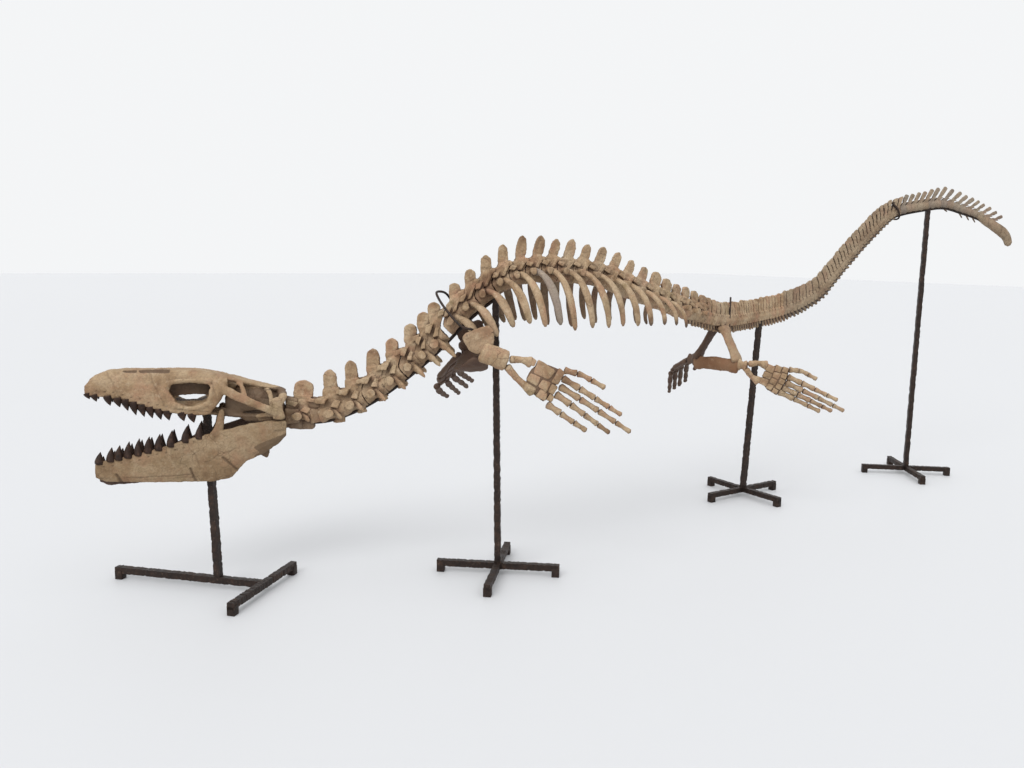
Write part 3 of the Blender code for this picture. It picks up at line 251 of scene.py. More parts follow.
def bone_finish(name, share=0.0, stain_and_shade=(60, 37, 28)):
    """Dry fossil bone: tan with pinkish, olive and grey patches, fine cracks and painted shade in its
    hollows.
    """
    f = Finish(name)
    patches = f.noise(7.0, 5.0, 0.6, 0.6)
    base = f.ramp(patches, (0.32, linear(112, 84, 58)), (0.45, linear(150, 124, 93)),
                  (0.57, linear(172, 149, 119)), (0.70, linear(132, 112, 80)))
    warm = f.ramp(f.noise(13.0, 3.0), (0.48, 0.0), (0.70, 1.0))
    base = f.mix(f.sums('MULTIPLY', warm, 0.6), base, linear(156, 112, 86))
    tone = f.attribute("tone")
    base = f.mix(f.ramp(tone, (0.55, 0.0), (1.0, 0.85)), base, linear(128, 121, 114))
    base = f.mix(f.ramp(tone, (0.0, 0.55), (0.45, 0.0)), base, linear(112, 84, 60))
    grain = f.noise(140.0, 4.0, 0.7)
    base = f.mix(f.ramp(grain, (0.36, 0.45), (0.56, 0.0)), base, linear(98, 76, 55))
    pale = f.ramp(f.noise(45.0, 3.0, 0.6), (0.56, 0.0), (0.74, 0.5))
    base = f.mix(pale, base, linear(184, 165, 138))
    wander = f.noise(26.0, 2.0)
    node = f.nodes.new("ShaderNodeVectorMath")
    node.operation = 'MULTIPLY_ADD'
    f.feed(node.inputs[0], wander)
    f.feed(node.inputs[1], (0.06, 0.06, 0.06))
    f.feed(node.inputs[2], f.place)
    lines = f.cracks(17.0, node.outputs["Vector"])
    crack = f.ramp(lines, (0.0, 1.0), (0.018, 0.0))
    crack = f.sums('MULTIPLY', crack, f.ramp(f.noise(5.0, 2.0), (0.45, 0.0), (0.60, 1.0)))
    base = f.mix(f.sums('MULTIPLY', crack, 0.8), base, linear(58, 42, 30))
    # Painted shade: darker where ambient occlusion finds hollows, creases and gaps between parts
    hollow_shade = f.ramp(f.hollows(0.040), (0.30, 0.88), (0.85, 0.0))
    base = f.mix(hollow_shade, base, linear(66, 41, 30))
    # Dark mask from the mesh: real stains, seams and dark joints, and painted shade on far, hidden and
    # recessed parts
    shade_and_stain_mask = f.attribute("shade_and_stain_mask")
    base = f.mix(f.sums('MULTIPLY', shade_and_stain_mask, 0.85), base, linear(54, 34, 26))
    if share:
        base = f.mix(share, base, linear(*stain_and_shade))
    f.links.new(base, f.shader.inputs["Base Color"])
    f.links.new(f.ramp(grain, (0.3, 0.62), (0.7, 0.86)), f.shader.inputs["Roughness"])
    height = f.sums('ADD', f.sums('MULTIPLY', grain, 0.5), f.noise(45.0, 5.0, 0.65))
    height = f.sums('SUBTRACT', height, f.sums('MULTIPLY', crack, 0.7))
    f.bump(height, 0.55, 0.004)
    return f.material


def tooth_finish():
    """Dark brown enamel."""
    f = Finish("tooth_enamel")
    shade = f.noise(60.0, 4.0, 0.6)
    base = f.ramp(shade, (0.30, linear(28, 19, 14)), (0.55, linear(50, 34, 26)),
                  (0.78, linear(84, 62, 46)))
    f.links.new(base, f.shader.inputs["Base Color"])
    f.shader.inputs["Roughness"].default_value = 0.55
    f.shader.inputs["Specular IOR Level"].default_value = 0.2
    f.bump(f.noise(220.0, 3.0, 0.6), 0.25, 0.002)
    return f.material


def iron_finish():
    """Hammered iron with a dark brown patina and lighter worn patches."""
    f = Finish("forged_iron_patina")
    patina = f.noise(30.0, 5.0, 0.65)
    base = f.ramp(patina, (0.30, linear(24, 17, 14)), (0.55, linear(46, 34, 28)),
                  (0.75, linear(70, 51, 40)))
    wear = f.ramp(f.noise(90.0, 3.0), (0.58, 0.0), (0.75, 0.55))
    base = f.mix(wear, base, linear(104, 84, 70))
    f.links.new(base, f.shader.inputs["Base Color"])
    f.links.new(f.ramp(patina, (0.3, 0.42), (0.7, 0.68)), f.shader.inputs["Roughness"])
    f.shader.inputs["Metallic"].default_value = 0.55
    dents = f.cracks(70.0)
    f.bump(f.sums('ADD', f.sums('MULTIPLY', dents, 1.2), f.noise(160.0, 3.0)), 0.5, 0.003)
    return f.material


BONE = bone_finish("fossil_bone_tan")
SKULL_BONE = bone_finish("fossil_bone_skull", 0.20, (112, 90, 60))
JAW_BONE = bone_finish("fossil_bone_olive", 0.46, (94, 74, 46))
RED_BONE = bone_finish("fossil_bone_red", 0.64, (108, 68, 38))
TAIL_BONE = bone_finish("fossil_bone_tail", 0.30, (68, 70, 68))
# Darker copy of the bone for the far pieces and those facing down: painted shade
SHADED_BONE = bone_finish("fossil_bone_painted_shade", 0.84)
ENAMEL = tooth_finish()
IRON = iron_finish()


# Modelling

def only(*pieces):
    """Select just these pieces, the first as the active one."""
    bpy.ops.object.select_all(action='DESELECT')
    for piece in pieces:
        piece.select_set(True)
    bpy.context.view_layer.objects.active = pieces[0]


def apply_all(piece):
    """Apply every modifier of a piece, in order."""
    only(piece)
    for modifier in list(piece.modifiers):
        bpy.ops.object.modifier_apply(modifier=modifier.name)


def joined(pieces, name):
    """Pieces joined into one object at the origin."""
    only(*pieces)
    bpy.ops.object.transform_apply(location=True, rotation=True, scale=True)
    if len(pieces) > 1:
        bpy.ops.object.join()
    piece = bpy.context.object
    piece.name = name
    return piece


def fused(pieces, name, voxel, rounds=3):
    """Overlapping shapes grown together into one skin and softened."""
    piece = joined(pieces, name)
    skin = piece.modifiers.new("skin", 'REMESH')
    skin.mode = 'VOXEL'
    skin.voxel_size = voxel
    skin.use_smooth_shade = True
    soften = piece.modifiers.new("soften", 'SMOOTH')
    soften.factor = 0.5
    soften.iterations = rounds
    apply_all(piece)
    return piece


COLUMN_WEAR = ((0.018, 0.006), (0.006, 0.0025))
RIB_WEAR = ((0.030, 0.003),)
TAIL_WEAR = ((0.014, 0.004), (0.005, 0.002))
FAN_WEAR = ((0.014, 0.003), (0.005, 0.001))
HEAD_WEAR = ((0.035, 0.006), (0.010, 0.003))
LIMB_WEAR = ((0.030, 0.008), (0.009, 0.003))
PADDLE_WEAR = ((0.016, 0.004), (0.006, 0.0015))


def weathered(piece, *layers):
    """Pits and swellings of old bone: each layer is the size of its forms and their height."""
    for number, (size, height) in enumerate(layers):
        cloud = bpy.data.textures.new(f"weather_{number}", 'CLOUDS')
        cloud.noise_scale = size
        cloud.noise_depth = 2
        worn = piece.modifiers.new(f"worn_{number}", 'DISPLACE')
        worn.texture = cloud
        worn.texture_coords = 'LOCAL'
        worn.strength = height
        worn.mid_level = 0.5
    apply_all(piece)
    return piece


def edit():
    bpy.ops.object.mode_set(mode='EDIT')


def leave_edit():
    bpy.ops.object.mode_set(mode='OBJECT')


def pick_edges(piece, wanted):
    """Select just the edges, in edit mode, whose two ends pass a test."""
    bpy.ops.mesh.select_all(action='DESELECT')
    mesh = bmesh.from_edit_mesh(piece.data)
    for edge in mesh.edges:
        edge.select = wanted(edge.verts[0].co, edge.verts[1].co)


def cut_loops(piece, length, cuts):
    """Cut loops across the edges that run along the height of a piece."""
    pick_edges(piece, lambda a, b: abs(a.z - b.z) > length * 0.9)
    bpy.ops.mesh.subdivide(number_cuts=cuts)


def face_outwards():
    edit()
    bpy.ops.mesh.select_all(action='SELECT')
    bpy.ops.mesh.normals_make_consistent(inside=False)
    leave_edit()


def block(size, place, turn=(0.0, 0.0, 0.0)):
    """Box of a size at a place, turned by degrees."""
    bpy.ops.mesh.primitive_cube_add(size=1.0, location=place, scale=size,
                                    rotation=[math.radians(a) for a in turn])
    return bpy.context.object


def drum(radius, length, place, turn, waist=1.0, sides=20):
    """Round bone body with a waist, made from a cylinder with loops along it."""
    bpy.ops.mesh.primitive_cylinder_add(vertices=sides, radius=radius, depth=length)
    piece = bpy.context.object
    edit()
    cut_loops(piece, length, 7)
    leave_edit()
    for vertex in piece.data.vertices:
        share = 1.0 - abs(2.0 * vertex.co.z / length) ** 1.6
        vertex.co.xy *= 1.0 - (1.0 - waist) * share
    piece.location = place
    piece.rotation_euler = [math.radians(a) for a in turn]
    return piece


def tongue(width, thick, height, place, flare=1.15, foot=1.0):
    """Flat upright plate with a rounded top, wider or narrower there, and a thicker foot."""
    bpy.ops.mesh.primitive_cube_add(size=1.0)
    piece = bpy.context.object
    for vertex in piece.data.vertices:
        wide, deep = (flare, 1.0) if vertex.co.z > 0 else (1.0, foot)
        vertex.co = Vector((vertex.co.x * width * wide, vertex.co.y * thick * deep,
                            (vertex.co.z + 0.5) * height))
    edit()
    pick_edges(piece, lambda a, b: min(a.z, b.z) > height * 0.9 and abs(a.y - b.y) > thick * 0.9)
    bpy.ops.mesh.bevel(offset=width * 0.46, segments=6, affect='EDGES')
    leave_edit()
    piece.location = place
    return piece


MASTERS = {}


def shaft_master(sides, cuts):
    """Straight round bar of unit size, kept as the start of every long bone and rod."""
    if (sides, cuts) not in MASTERS:
        bpy.ops.mesh.primitive_cylinder_add(vertices=sides, radius=1.0, depth=1.0,
                                            end_fill_type='TRIFAN')
        piece = bpy.context.object
        edit()
        cut_loops(piece, 1.0, cuts)
        leave_edit()
        bpy.ops.object.shade_smooth()
        MASTERS[sides, cuts] = piece
    return MASTERS[sides, cuts]


def copy_of(master, name, move, tone=None, stain_and_shade=0.0):
    """Copy of a modelled shape with its own mesh, each point moved by a function."""
    mesh = master.data.copy()
    for vertex in mesh.vertices:
        vertex.co = move(vertex.co)
    piece = bpy.data.objects.new(name, mesh)
    bpy.context.scene.collection.objects.link(piece)
    painted(piece, "tone", rng.uniform(0.30, 0.62) if tone is None else tone)
    # Whole piece darker: a real stain on some pieces, painted shade on far and hidden ones
    if stain_and_shade:
        painted(piece, "shade_and_stain_mask", stain_and_shade)
    return piece


def painted(piece, name, amount):
    """Paint a bone: its tone is browner when low and greyer when high; its dark mask darkens it, for
    real stains, seams and dark joints and for painted shade.
    """
    mesh = piece.data
    attribute = mesh.attributes.get(name) or mesh.attributes.new(name, 'FLOAT', 'POINT')
    values = [amount(v) if callable(amount) else amount for v in mesh.vertices]
    attribute.data.foreach_set("value", values)


def spread(values, t):
    """Smooth value at a share of the way through a short list."""
    at = t * (len(values) - 1)
    i = min(int(at), len(values) - 2)
    s = at - i
    s = s * s * (3 - 2 * s)
    return values[i] + (values[i + 1] - values[i]) * s


def shaft(name, points, widths, depths, across, sides=12, cuts=16, blunt=0.5, tone=None,
          turn=0.0, stain_and_shade=0.0):
    """Long bone or rod along a smooth line, oval in section, with rounded ends."""
    line = smooth_line(points, 10) if len(points) > 2 else [Vector(p) for p in points]
    distances = lengths_along(line)
    total = distances[-1]
    rings = cuts + 1
    places = []
    for k in range(rings + 1):
        point, ahead = point_on(line, distances, total * k / rings)
        if k == rings:
            point = line[-1]
        side = (across - ahead * across.dot(ahead)).normalized()
        places.append((point, ahead, side, ahead.cross(side)))

    def move(co):
        t = co.z + 0.5
        point, ahead, side, normal = places[round(t * rings)]
        width, depth = spread(widths, t), spread(depths, t)
        round_off = 1.0
        cap = blunt * max(widths[0], widths[-1]) / total
        if cap > 0:
            end = min(t, 1 - t) / cap
            if end < 1:
                round_off = 0.45 + 0.55 * math.sqrt(max(0.0, 1 - (1 - end) ** 2))
        x, y = co.x, co.y
        if turn:
            angle = turn * t
            x, y = x * math.cos(angle) - y * math.sin(angle), x * math.sin(angle) + y * math.cos(angle)
        return point + side * x * width * round_off + normal * y * depth * round_off

    return copy_of(shaft_master(sides, cuts), name, move, tone, stain_and_shade)


def pebble(name, middle, size, axes, tone=None, stain_and_shade=0.0):
    """Small rounded block of bone."""
    if "pebble" not in MASTERS:
        bpy.ops.mesh.primitive_cube_add(size=2.0)
        master = bpy.context.object
        edit()
        bpy.ops.mesh.select_all(action='SELECT')
        bpy.ops.mesh.bevel(offset=0.30, segments=2, affect='EDGES')
        bpy.ops.mesh.select_all(action='SELECT')
        bpy.ops.mesh.subdivide(number_cuts=2)
        leave_edit()
        bpy.ops.object.shade_smooth()
        MASTERS["pebble"] = master
    skews = [rng.uniform(-0.14, 0.14) for _ in range(3)]

    def move(co):
        x = co.x * size[0] * (1 + skews[0] * co.y)
        y = co.y * size[1] * (1 + skews[1] * co.x)
        return middle + axes[0] * x + axes[1] * y + axes[2] * co.z * size[2] * (1 + skews[2] * co.x)

    return copy_of(MASTERS["pebble"], name, move, tone, stain_and_shade)


def settle(piece, finish, slot, *nodes):
    """Give a finished piece its material and its body, and hide the plain solids that it stands for."""
    piece.data.materials.clear()
    piece.data.materials.append(finish)
    for polygon in piece.data.polygons:
        polygon.material_index = 0
        polygon.use_smooth = True
    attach(piece, "root")
    if nodes:
        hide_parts(*nodes)
    return piece


def bone_piece(parts, name, wear, finish, *nodes):
    """Parts joined into one piece of old bone."""
    return settle(weathered(joined(parts, name), *wear), finish, "fossil_bone", *nodes)


# Vertebrae

NOMINAL_PITCH, NOMINAL_RADIUS, ARCH_TOP, NOMINAL_TOP = 0.0936, 0.040, 0.084, 0.180
# Width of the spine of each kind of vertebra, before it is fitted to its place
NECK_SPINE, TRUNK_SPINE, SLAT_SPINE, FAN_SPINE = 0.052, 0.050, 0.083, 0.028
VERTEBRA_GRAIN, FAN_GRAIN, SKULL_GRAIN, JAW_GRAIN = 0.0034, 0.0036, 0.0033, 0.0028
# Shares of a spine's height: where it is fully as wide as its place asks, and where its top narrows
SPINE_FULL, SPINE_NARROWS, NARROWING = 0.22, 0.55, 0.62
# Height over the middle, in radii, where a vertebra starts to lean, and the span until it leans fully
LEAN_FROM, LEAN_SPAN = 0.3, 1.2
BODY_LENGTH_SHARE = 1.03


def trunk_vertebra_master():
    parts = [drum(0.040, 0.092, (0, 0, 0), (0, 90, 0), 0.84, 24),
             block((0.090, 0.036, 0.058), (0.000, 0, 0.050)),
             block((0.056, 0.030, 0.032), (0.004, 0, 0.070)),
             tongue(0.052, 0.016, 0.116, (0.004, 0, 0.066), 0.84)]
    for side in (1, -1):
        parts += [block((0.040, 0.018, 0.018), (-0.040, side * 0.024, 0.054), (0, 18, side * 8)),
                  block((0.034, 0.016, 0.016), (0.038, side * 0.018, 0.068), (0, 14, side * -8)),
                  block((0.024, 0.020, 0.034), (0.016, side * 0.020, 0.048), (12, 20, 0)),
                  drum(0.018, 0.046, (-0.014, side * 0.046, 0.020), (90, 0, 0), 0.85, 10)]
    return fused(parts, "trunk_vertebra", VERTEBRA_GRAIN, 2)


def neck_vertebra_master():
    parts = [drum(0.042, 0.092, (0, 0, 0), (0, 90, 0), 0.84, 24),
             block((0.090, 0.044, 0.052), (0.000, 0, 0.046)),
             block((0.060, 0.036, 0.036), (0.000, 0, 0.078)),
             tongue(0.052, 0.024, 0.118, (0.000, 0, 0.064), 0.92),
             drum(0.022, 0.050, (0.016, 0, -0.036), (0, 20, 0), 0.80, 10)]
    for side in (1, -1):
        parts += [block((0.042, 0.024, 0.020), (-0.034, side * 0.032, 0.060), (0, 22, side * 10)),
                  block((0.036, 0.022, 0.018), (0.036, side * 0.026, 0.072), (0, 16, side * -10)),
                  block((0.028, 0.022, 0.030), (0.018, side * 0.034, 0.026), (20, 30, 0)),
                  drum(0.020, 0.052, (-0.010, side * 0.046, 0.000), (90, 0, 0), 0.85, 10)]
    return fused(parts, "neck_vertebra", VERTEBRA_GRAIN, 2)


def tail_vertebra_master():
    parts = [drum(0.036, 0.092, (0, 0, 0), (0, 90, 0), 0.92, 20)]
    for at, rise in ((-0.023, 0.152), (0.023, 0.144)):
        parts += [tongue(0.037, 0.013, rise, (at, 0, 0.028), 0.98, 3.6),
                  block((0.036, 0.062, 0.070), (at, 0, 0.002))]
    return fused(parts, "tail_vertebra", VERTEBRA_GRAIN, 1)


def fan_vertebra_master():
    parts = [drum(0.040, 0.092, (0, 0, 0), (0, 90, 0), 0.84, 16),
             block((0.070, 0.030, 0.040), (0.000, 0, 0.040)),
             tongue(0.030, 0.016, 0.150, (0.000, 0, 0.030), 0.90)]
    return fused(parts, "fan_vertebra", FAN_GRAIN, 1)


def set_vertebra(master, kind, distance, pitch, width=None, tone=None):
    """Copy of a vertebra set on the column, with its own size, lean and height of spine."""
    middle, back, left, up = column_frame(distance)
    radius = table(CENTRUM_RADIUS, distance) * rng.uniform(0.97, 1.03)
    lean = table(SPINE_LEAN, distance)
    slope = math.sqrt(1 + lean * lean)
    height = vary(table(SPINE_TOP, distance), 0.04)
    if distance < NECK_END + 0.4:
        height /= slope
    width = vary(width or table(SPINE_WIDTH, distance))
    stretch, swell = BODY_LENGTH_SHARE * pitch / NOMINAL_PITCH, radius / NOMINAL_RADIUS
    twist, sway = rng.uniform(-0.05, 0.05), rng.uniform(-0.05, 0.05)
    way, perp = (up + back * lean) / slope, (back - up * lean) / slope
    base = ARCH_TOP * swell
    foot = middle + back * lean * base + up * base

    def move(co):
        x, y, z = co.x * stretch, co.y * swell, co.z * swell
        if kind == FAN_SPINE:
            widening = min(max((co.z - 0.055) / 0.020, 0.0), 1.0)
            x += co.x * (width / kind - stretch) * widening
        rise = min(max((z / radius - LEAN_FROM) / LEAN_SPAN, 0.0), 1.0)
        low = middle + back * (x + lean * z * rise * rise * (3 - 2 * rise)) + up * z
        share = (co.z - ARCH_TOP) / (NOMINAL_TOP - ARCH_TOP)
        if share > 0:
            tall = share * (height - base)
            along = back if kind == SLAT_SPINE else perp
            if kind in (NECK_SPINE, TRUNK_SPINE) and share > SPINE_NARROWS:
                late = (share - SPINE_NARROWS) / (1 - SPINE_NARROWS)
                along = along * math.sqrt(max(0.2, 1 - NARROWING * late ** 2))
            high = foot + way * tall * slope + along * co.x * width / kind
            sheared = foot + back * x + way * tall * slope
            low = sheared.lerp(high, min(1.0, share / SPINE_FULL))
            y += sway * tall
        return low + left * (y + twist * x)

    return copy_of(master, "vertebra", move, tone)


def rib_line(distance, side, drop, out, back_sweep, steps=12):
    """Points of a rib that leaves a vertebra, bows outwards and sweeps down and back."""
    middle, back, left, _ = column_frame(distance)
    radius = table(CENTRUM_RADIUS, distance)
    level_back = level(back)
    root = middle + left * side * radius * 0.75 + UP * radius * 0.45
    fall = (drop + radius * 0.45) / (1 - math.cos(RIB_BOW))
    points = []
    for i in range(steps + 1):
        t = i / steps
        turn = RIB_BOW * t
        points.append(root + left * side * out * math.sin(turn) - UP * fall * (1 - math.cos(turn))
                      + level_back * back_sweep * t ** 0.8)
    return points, level_back


def rib(index, distance, side):
    """One rib; the far ones are darker and browner as painted shade, and the tips of the last ones are
    dark.
    """
    drop, out, sweep = [vary(table(sizes, index)) for sizes in (RIB_DROP, RIB_OUT, RIB_BACK)]
    half = vary(0.0185 if index < FIRST_THIN_RIB else 0.0150, 0.08)
    # Painted shade on the far ribs: a dark mark here and a browner tone below
    stain_and_shade = 0.0 if side > 0 else 0.45
    points, level_back = rib_line(distance, side, drop, out, sweep)
    widths = [half * share for share in RIB_WIDTHS]
    depths = [half * share for share in RIB_DEPTHS]
    tone = rng.choice(RIB_TONES) if side > 0 else 0.15
    piece = shaft("rib", points, widths, depths, level_back, 10, 20, 0.8, tone,
                  rng.uniform(-0.4, 0.4), stain_and_shade)
    if index > LAST_PALE_RIB:
        tip = points[-1]
        painted(piece, "shade_and_stain_mask", lambda v: max(stain_and_shade, min(0.8, 1.5 - (v.co - tip).length / 0.028)))
    return piece


def neck_rib(index, distance, side):
    """Short rib with one bend, longer towards the chest."""
    middle, back, left, up = column_frame(distance)
    radius = table(CENTRUM_RADIUS, distance)
    length = vary(table(NECK_RIB, index))
    root = middle + left * side * radius * 0.6 + up * radius * 0.1
    level_back = level(back)
    way = (level_back * 0.75 + left * side * 0.5 - UP * 0.45).normalized()
    bend = root + way * (radius * 0.6 + length * 0.4)
    tip = bend + (way - UP * 0.2).normalized() * length * 0.6
    return shaft("neck_rib", (root, bend, tip), (0.022, 0.016, 0.012, 0.009),
                 (0.014, 0.010, 0.008, 0.006), UP, 10, 10, 0.8)


def pitches(stations, start, end):
    """Length of the body of each vertebra between its two joints."""
    joints = [start] + [(a + b) / 2 for a, b in zip(stations, stations[1:])] + [end]
    return [b - a for a, b in zip(joints, joints[1:])]


def neck_bones():
    """Neck vertebrae with their short ribs and the blocks of the first joint."""
    master = neck_vertebra_master()
    parts = []
    for index, (station, pitch) in enumerate(zip(NECK_STATIONS, pitches(NECK_STATIONS, 0.0, NECK_END))):
        parts.append(set_vertebra(master, NECK_SPINE, station, pitch))
        parts += [neck_rib(index, station, side) for side in (1, -1)]
    for at, low, size, stain_and_shade in FIRST_JOINT:
        middle, back, left, up = column_frame(max(at, 0.0))
        spot = middle + back * min(at, 0.0) - up * low
        parts.append(pebble("first_joint", spot, (0.030, size, size * 0.9), (back, left, up),
                            0.1, stain_and_shade))
    bone_piece(parts, "neck_bones", COLUMN_WEAR, BONE, "neck")
    bpy.data.objects.remove(master)


def trunk_bones():
    """Vertebrae of the chest, back and loin, and their ribs as pieces of their own."""
    master, slats = trunk_vertebra_master(), tail_vertebra_master()
    spans = (("chest", CHEST_STATIONS, NECK_END, CHEST_END, 0, ("chest_left", "chest_right")),
             ("back", BACK_STATIONS, CHEST_END, BACK_END, 8, ("back_left", "back_right")),
             ("loin", LOIN_STATIONS, BACK_END, LOIN_END, 15, ("loin",)))
    for name, stations, start, end, first, nodes in spans:
        vertebrae, ribs = [], []
        for k, (station, pitch) in enumerate(zip(stations, pitches(stations, start, end))):
            if station > SLATS_FROM:
                vertebrae.append(set_vertebra(slats, SLAT_SPINE, station, pitch, pitch * 0.95))
            else:
                width = table(SPINE_WIDTH, station) if station < 2.0 else pitch * 0.78
                vertebrae.append(set_vertebra(master, TRUNK_SPINE, station, pitch, width))
            if first + k <= LAST_RIB:
                ribs += [rib(first + k, station, side) for side in (1, -1)]
        if name == "loin":
            vertebrae += [chevron(at) for at in spaced(FIRST_CHEVRON, LOIN_END, LOIN_CHEVRON_GAP)]
            vertebrae.append(underside("loin_shade", FIRST_CHEVRON, LOIN_END))
        bone_piece(vertebrae, name + "_vertebrae", COLUMN_WEAR, BONE, *nodes)
        if ribs:
            bone_piece(ribs, name + "_ribs", RIB_WEAR, BONE)
    bpy.data.objects.remove(master)
    bpy.data.objects.remove(slats)


def tail_bones():
    """Three lengths of close slats, then the fan of thin spines at the end."""
    slats, fan = tail_vertebra_master(), fan_vertebra_master()
    spans = (("tail_base", LOIN_END, BASE_COUNT), ("tail_rise", TAIL_BASE_END, RISE_COUNT),
             ("tail_arch", TAIL_RISE_END, ARCH_COUNT))
    for name, start, count in spans:
        end = start + TAIL_PITCH * count - (0.05 if name == "tail_arch" else 0.0)
        parts = [chevron(distance) for distance in spaced(start, end, TAIL_PITCH / 2)]
        parts.append(underside(name + "_shade", start, end))
        for k in range(count):
            station = start + TAIL_PITCH * (k + 0.5)
            width = TAIL_PITCH * (0.95 if station < WIDE_SLATS_FROM else 1.12)
            parts.append(set_vertebra(slats, SLAT_SPINE, station, TAIL_PITCH, width,
                                      rng.uniform(0.42, 0.54)))
        bone_piece(parts, name + "_bones", TAIL_WEAR, BONE if name == "tail_base" else TAIL_BONE, name)
    parts = []
    for start, end in zip(FAN_JOINTS, FAN_JOINTS[1:]):
        parts.append(set_vertebra(fan, FAN_SPINE, (start + end) / 2, end - start,
                                  0.028 if start < THIN_FAN_FROM else 0.023,
                                  rng.uniform(0.60, 0.86)))
    parts += [fan_chevron(distance) for distance in FAN_CHEVRONS]
    parts.append(tail_tip())
    bone_piece(parts, "tail_end_bones", FAN_WEAR, TAIL_BONE, "tail_end")
    bpy.data.objects.remove(slats)
    bpy.data.objects.remove(fan)


def spaced(start, end, gap):
    """Evenly set places from a start to an end."""
    return [start + gap * (k + 0.5) for k in range(int((end - start) / gap))]


def chevron(distance):
    """Slat under a vertebra that points down and back."""
    middle, back, _, up = column_frame(distance)
    radius = table(CENTRUM_RADIUS, distance)
    depth = vary(table(CHEVRON_DEPTH, distance))
    way = (back * 0.75 - up).normalized()
    return shaft("chevron", (middle + way * radius * 0.7, middle + way * depth * 1.25),
                 (0.012, 0.011, 0.010, 0.009), (0.018, 0.014, 0.010, 0.007), back, 8, 8, 0.9,
                 0.35, 0.0, 0.15)


def line_under(start, end, steps, depth):
    """Points under the column at evenly set places, as deep as a function says."""
    points = []
    for k in range(steps + 1):
        distance = start + (end - start) * k / steps
        middle, _, _, up = column_frame(distance)
        points.append(middle - up * depth(distance))
    return points


def underside(name, start, end):
    """Dark strip behind the slats under a length of the column: painted shade between the slats,
    standing also for the rail hidden there.
    """
    points = line_under(start, end, 8, lambda at: table(CHEVRON_DEPTH, at) * 0.66)
    return shaft(name, points, (0.007, 0.007), (0.014, 0.014), column_frame(start)[2], 10, 30,
                 0.2, 0.0, 0.0, 1.0)


def fan_chevron(distance):
    """Thin slat that hangs back under the far end of the tail."""
    middle, back, _, up = column_frame(distance)
    way = (back * 1.3 - up).normalized()
    return shaft("chevron", (middle + way * 0.010, middle + way * 0.088), (0.006, 0.005),
                 (0.005, 0.004), back, 8, 8, 0.5, 0.2, 0.0, 0.7)


def tail_tip():
    """Last grown-together vertebrae, thicker than those before them."""
    total = COLUMN_DISTANCE[-1]
    points = [point_on(COLUMN_LINE, COLUMN_DISTANCE, d)[0]
              for d in (FAN_JOINTS[-4], (FAN_JOINTS[-1] + total) / 2, total - 0.002)]
    return shaft("tip", points, (0.020, 0.031, 0.035, 0.027), (0.019, 0.026, 0.027, 0.020), UP,
                 16, 24, 0.9)


neck_bones()
trunk_bones()
tail_bones()


# Head, modelled along the line from the snout: x back, y across, z height over the floor

HEAD = Matrix.Translation((-2.879, -0.053, 0.0)) @ Matrix.Rotation(math.radians(-3.6), 4, 'Z')
SKULL_SECTIONS = (
    (0.004, 0.938, 0.902, 0.010, 0.016), (0.034, 0.976, 0.893, 0.021, 0.036),
    (0.100, 1.004, 0.886, 0.030, 0.049), (0.170, 1.006, 0.868, 0.036, 0.058),
    (0.250, 1.004, 0.838, 0.042, 0.068), (0.330, 1.002, 0.815, 0.052, 0.081),
    (0.430, 0.998, 0.800, 0.068, 0.095), (0.495, 0.988, 0.802, 0.080, 0.106),
    (0.535, 0.978, 0.850, 0.086, 0.112), (0.575, 0.968, 0.912, 0.070, 0.100),
)
ORBIT_OUTLINE = ((0.338, 0.912), (0.350, 0.940), (0.425, 0.946), (0.498, 0.940), (0.511, 0.914),
                 (0.488, 0.868), (0.420, 0.840), (0.365, 0.866))
ORBIT_WINDOW = ((0.354, 0.868), (0.372, 0.884), (0.425, 0.890), (0.480, 0.885), (0.492, 0.873),
                (0.470, 0.860), (0.385, 0.860))
ORBIT_WALL = 0.030
UPPER_TIPS = ((0.018, 0.884), (0.046, 0.874), (0.099, 0.856), (0.136, 0.848), (0.167, 0.832),
              (0.198, 0.812), (0.230, 0.804), (0.262, 0.797), (0.296, 0.790), (0.329, 0.786),
              (0.388, 0.781), (0.428, 0.773))
LOWER_TIPS = ((0.046, 0.655), (0.092, 0.674), (0.124, 0.682), (0.162, 0.697), (0.203, 0.709),
              (0.243, 0.716), (0.286, 0.726), (0.336, 0.740), (0.396, 0.756), (0.452, 0.765))
TOOTH_RADIUS, FRONT_TOOTH_SHARE = 0.0185, 0.8
JAW_SECTIONS = (
    (0.028, 0.546, 0.610), (0.062, 0.526, 0.617), (0.183, 0.519, 0.640), (0.300, 0.514, 0.668),
    (0.417, 0.512, 0.702), (0.500, 0.511, 0.722), (0.575, 0.524, 0.742), (0.640, 0.596, 0.757),
    (0.715, 0.628, 0.770), (0.775, 0.668, 0.7745), (0.812, 0.705, 0.735),
)
JAW_OUT = ((0.03, 0.020), (0.20, 0.040), (0.42, 0.066), (0.60, 0.100), (0.81, 0.122))
JAW_HALF_THICK = ((0.03, 0.011), (0.20, 0.015), (0.50, 0.018), (0.81, 0.016))
JAW_HINGE = Vector((0.785, 0.0, 0.760))
JAW_RIGHT_DROP = math.radians(2.2)
JAW_SHAPE = ((-0.6, 0.0), (0.6, 0.0), (1.0, 0.22), (1.0, 0.75), (0.55, 1.0), (-0.55, 1.0),
             (-1.0, 0.75), (-1.0, 0.22), (-0.6, 0.0))
ACROSS = Vector((0.0, 1.0, 0.0))
AHEAD = Vector((1.0, 0.0, 0.0))
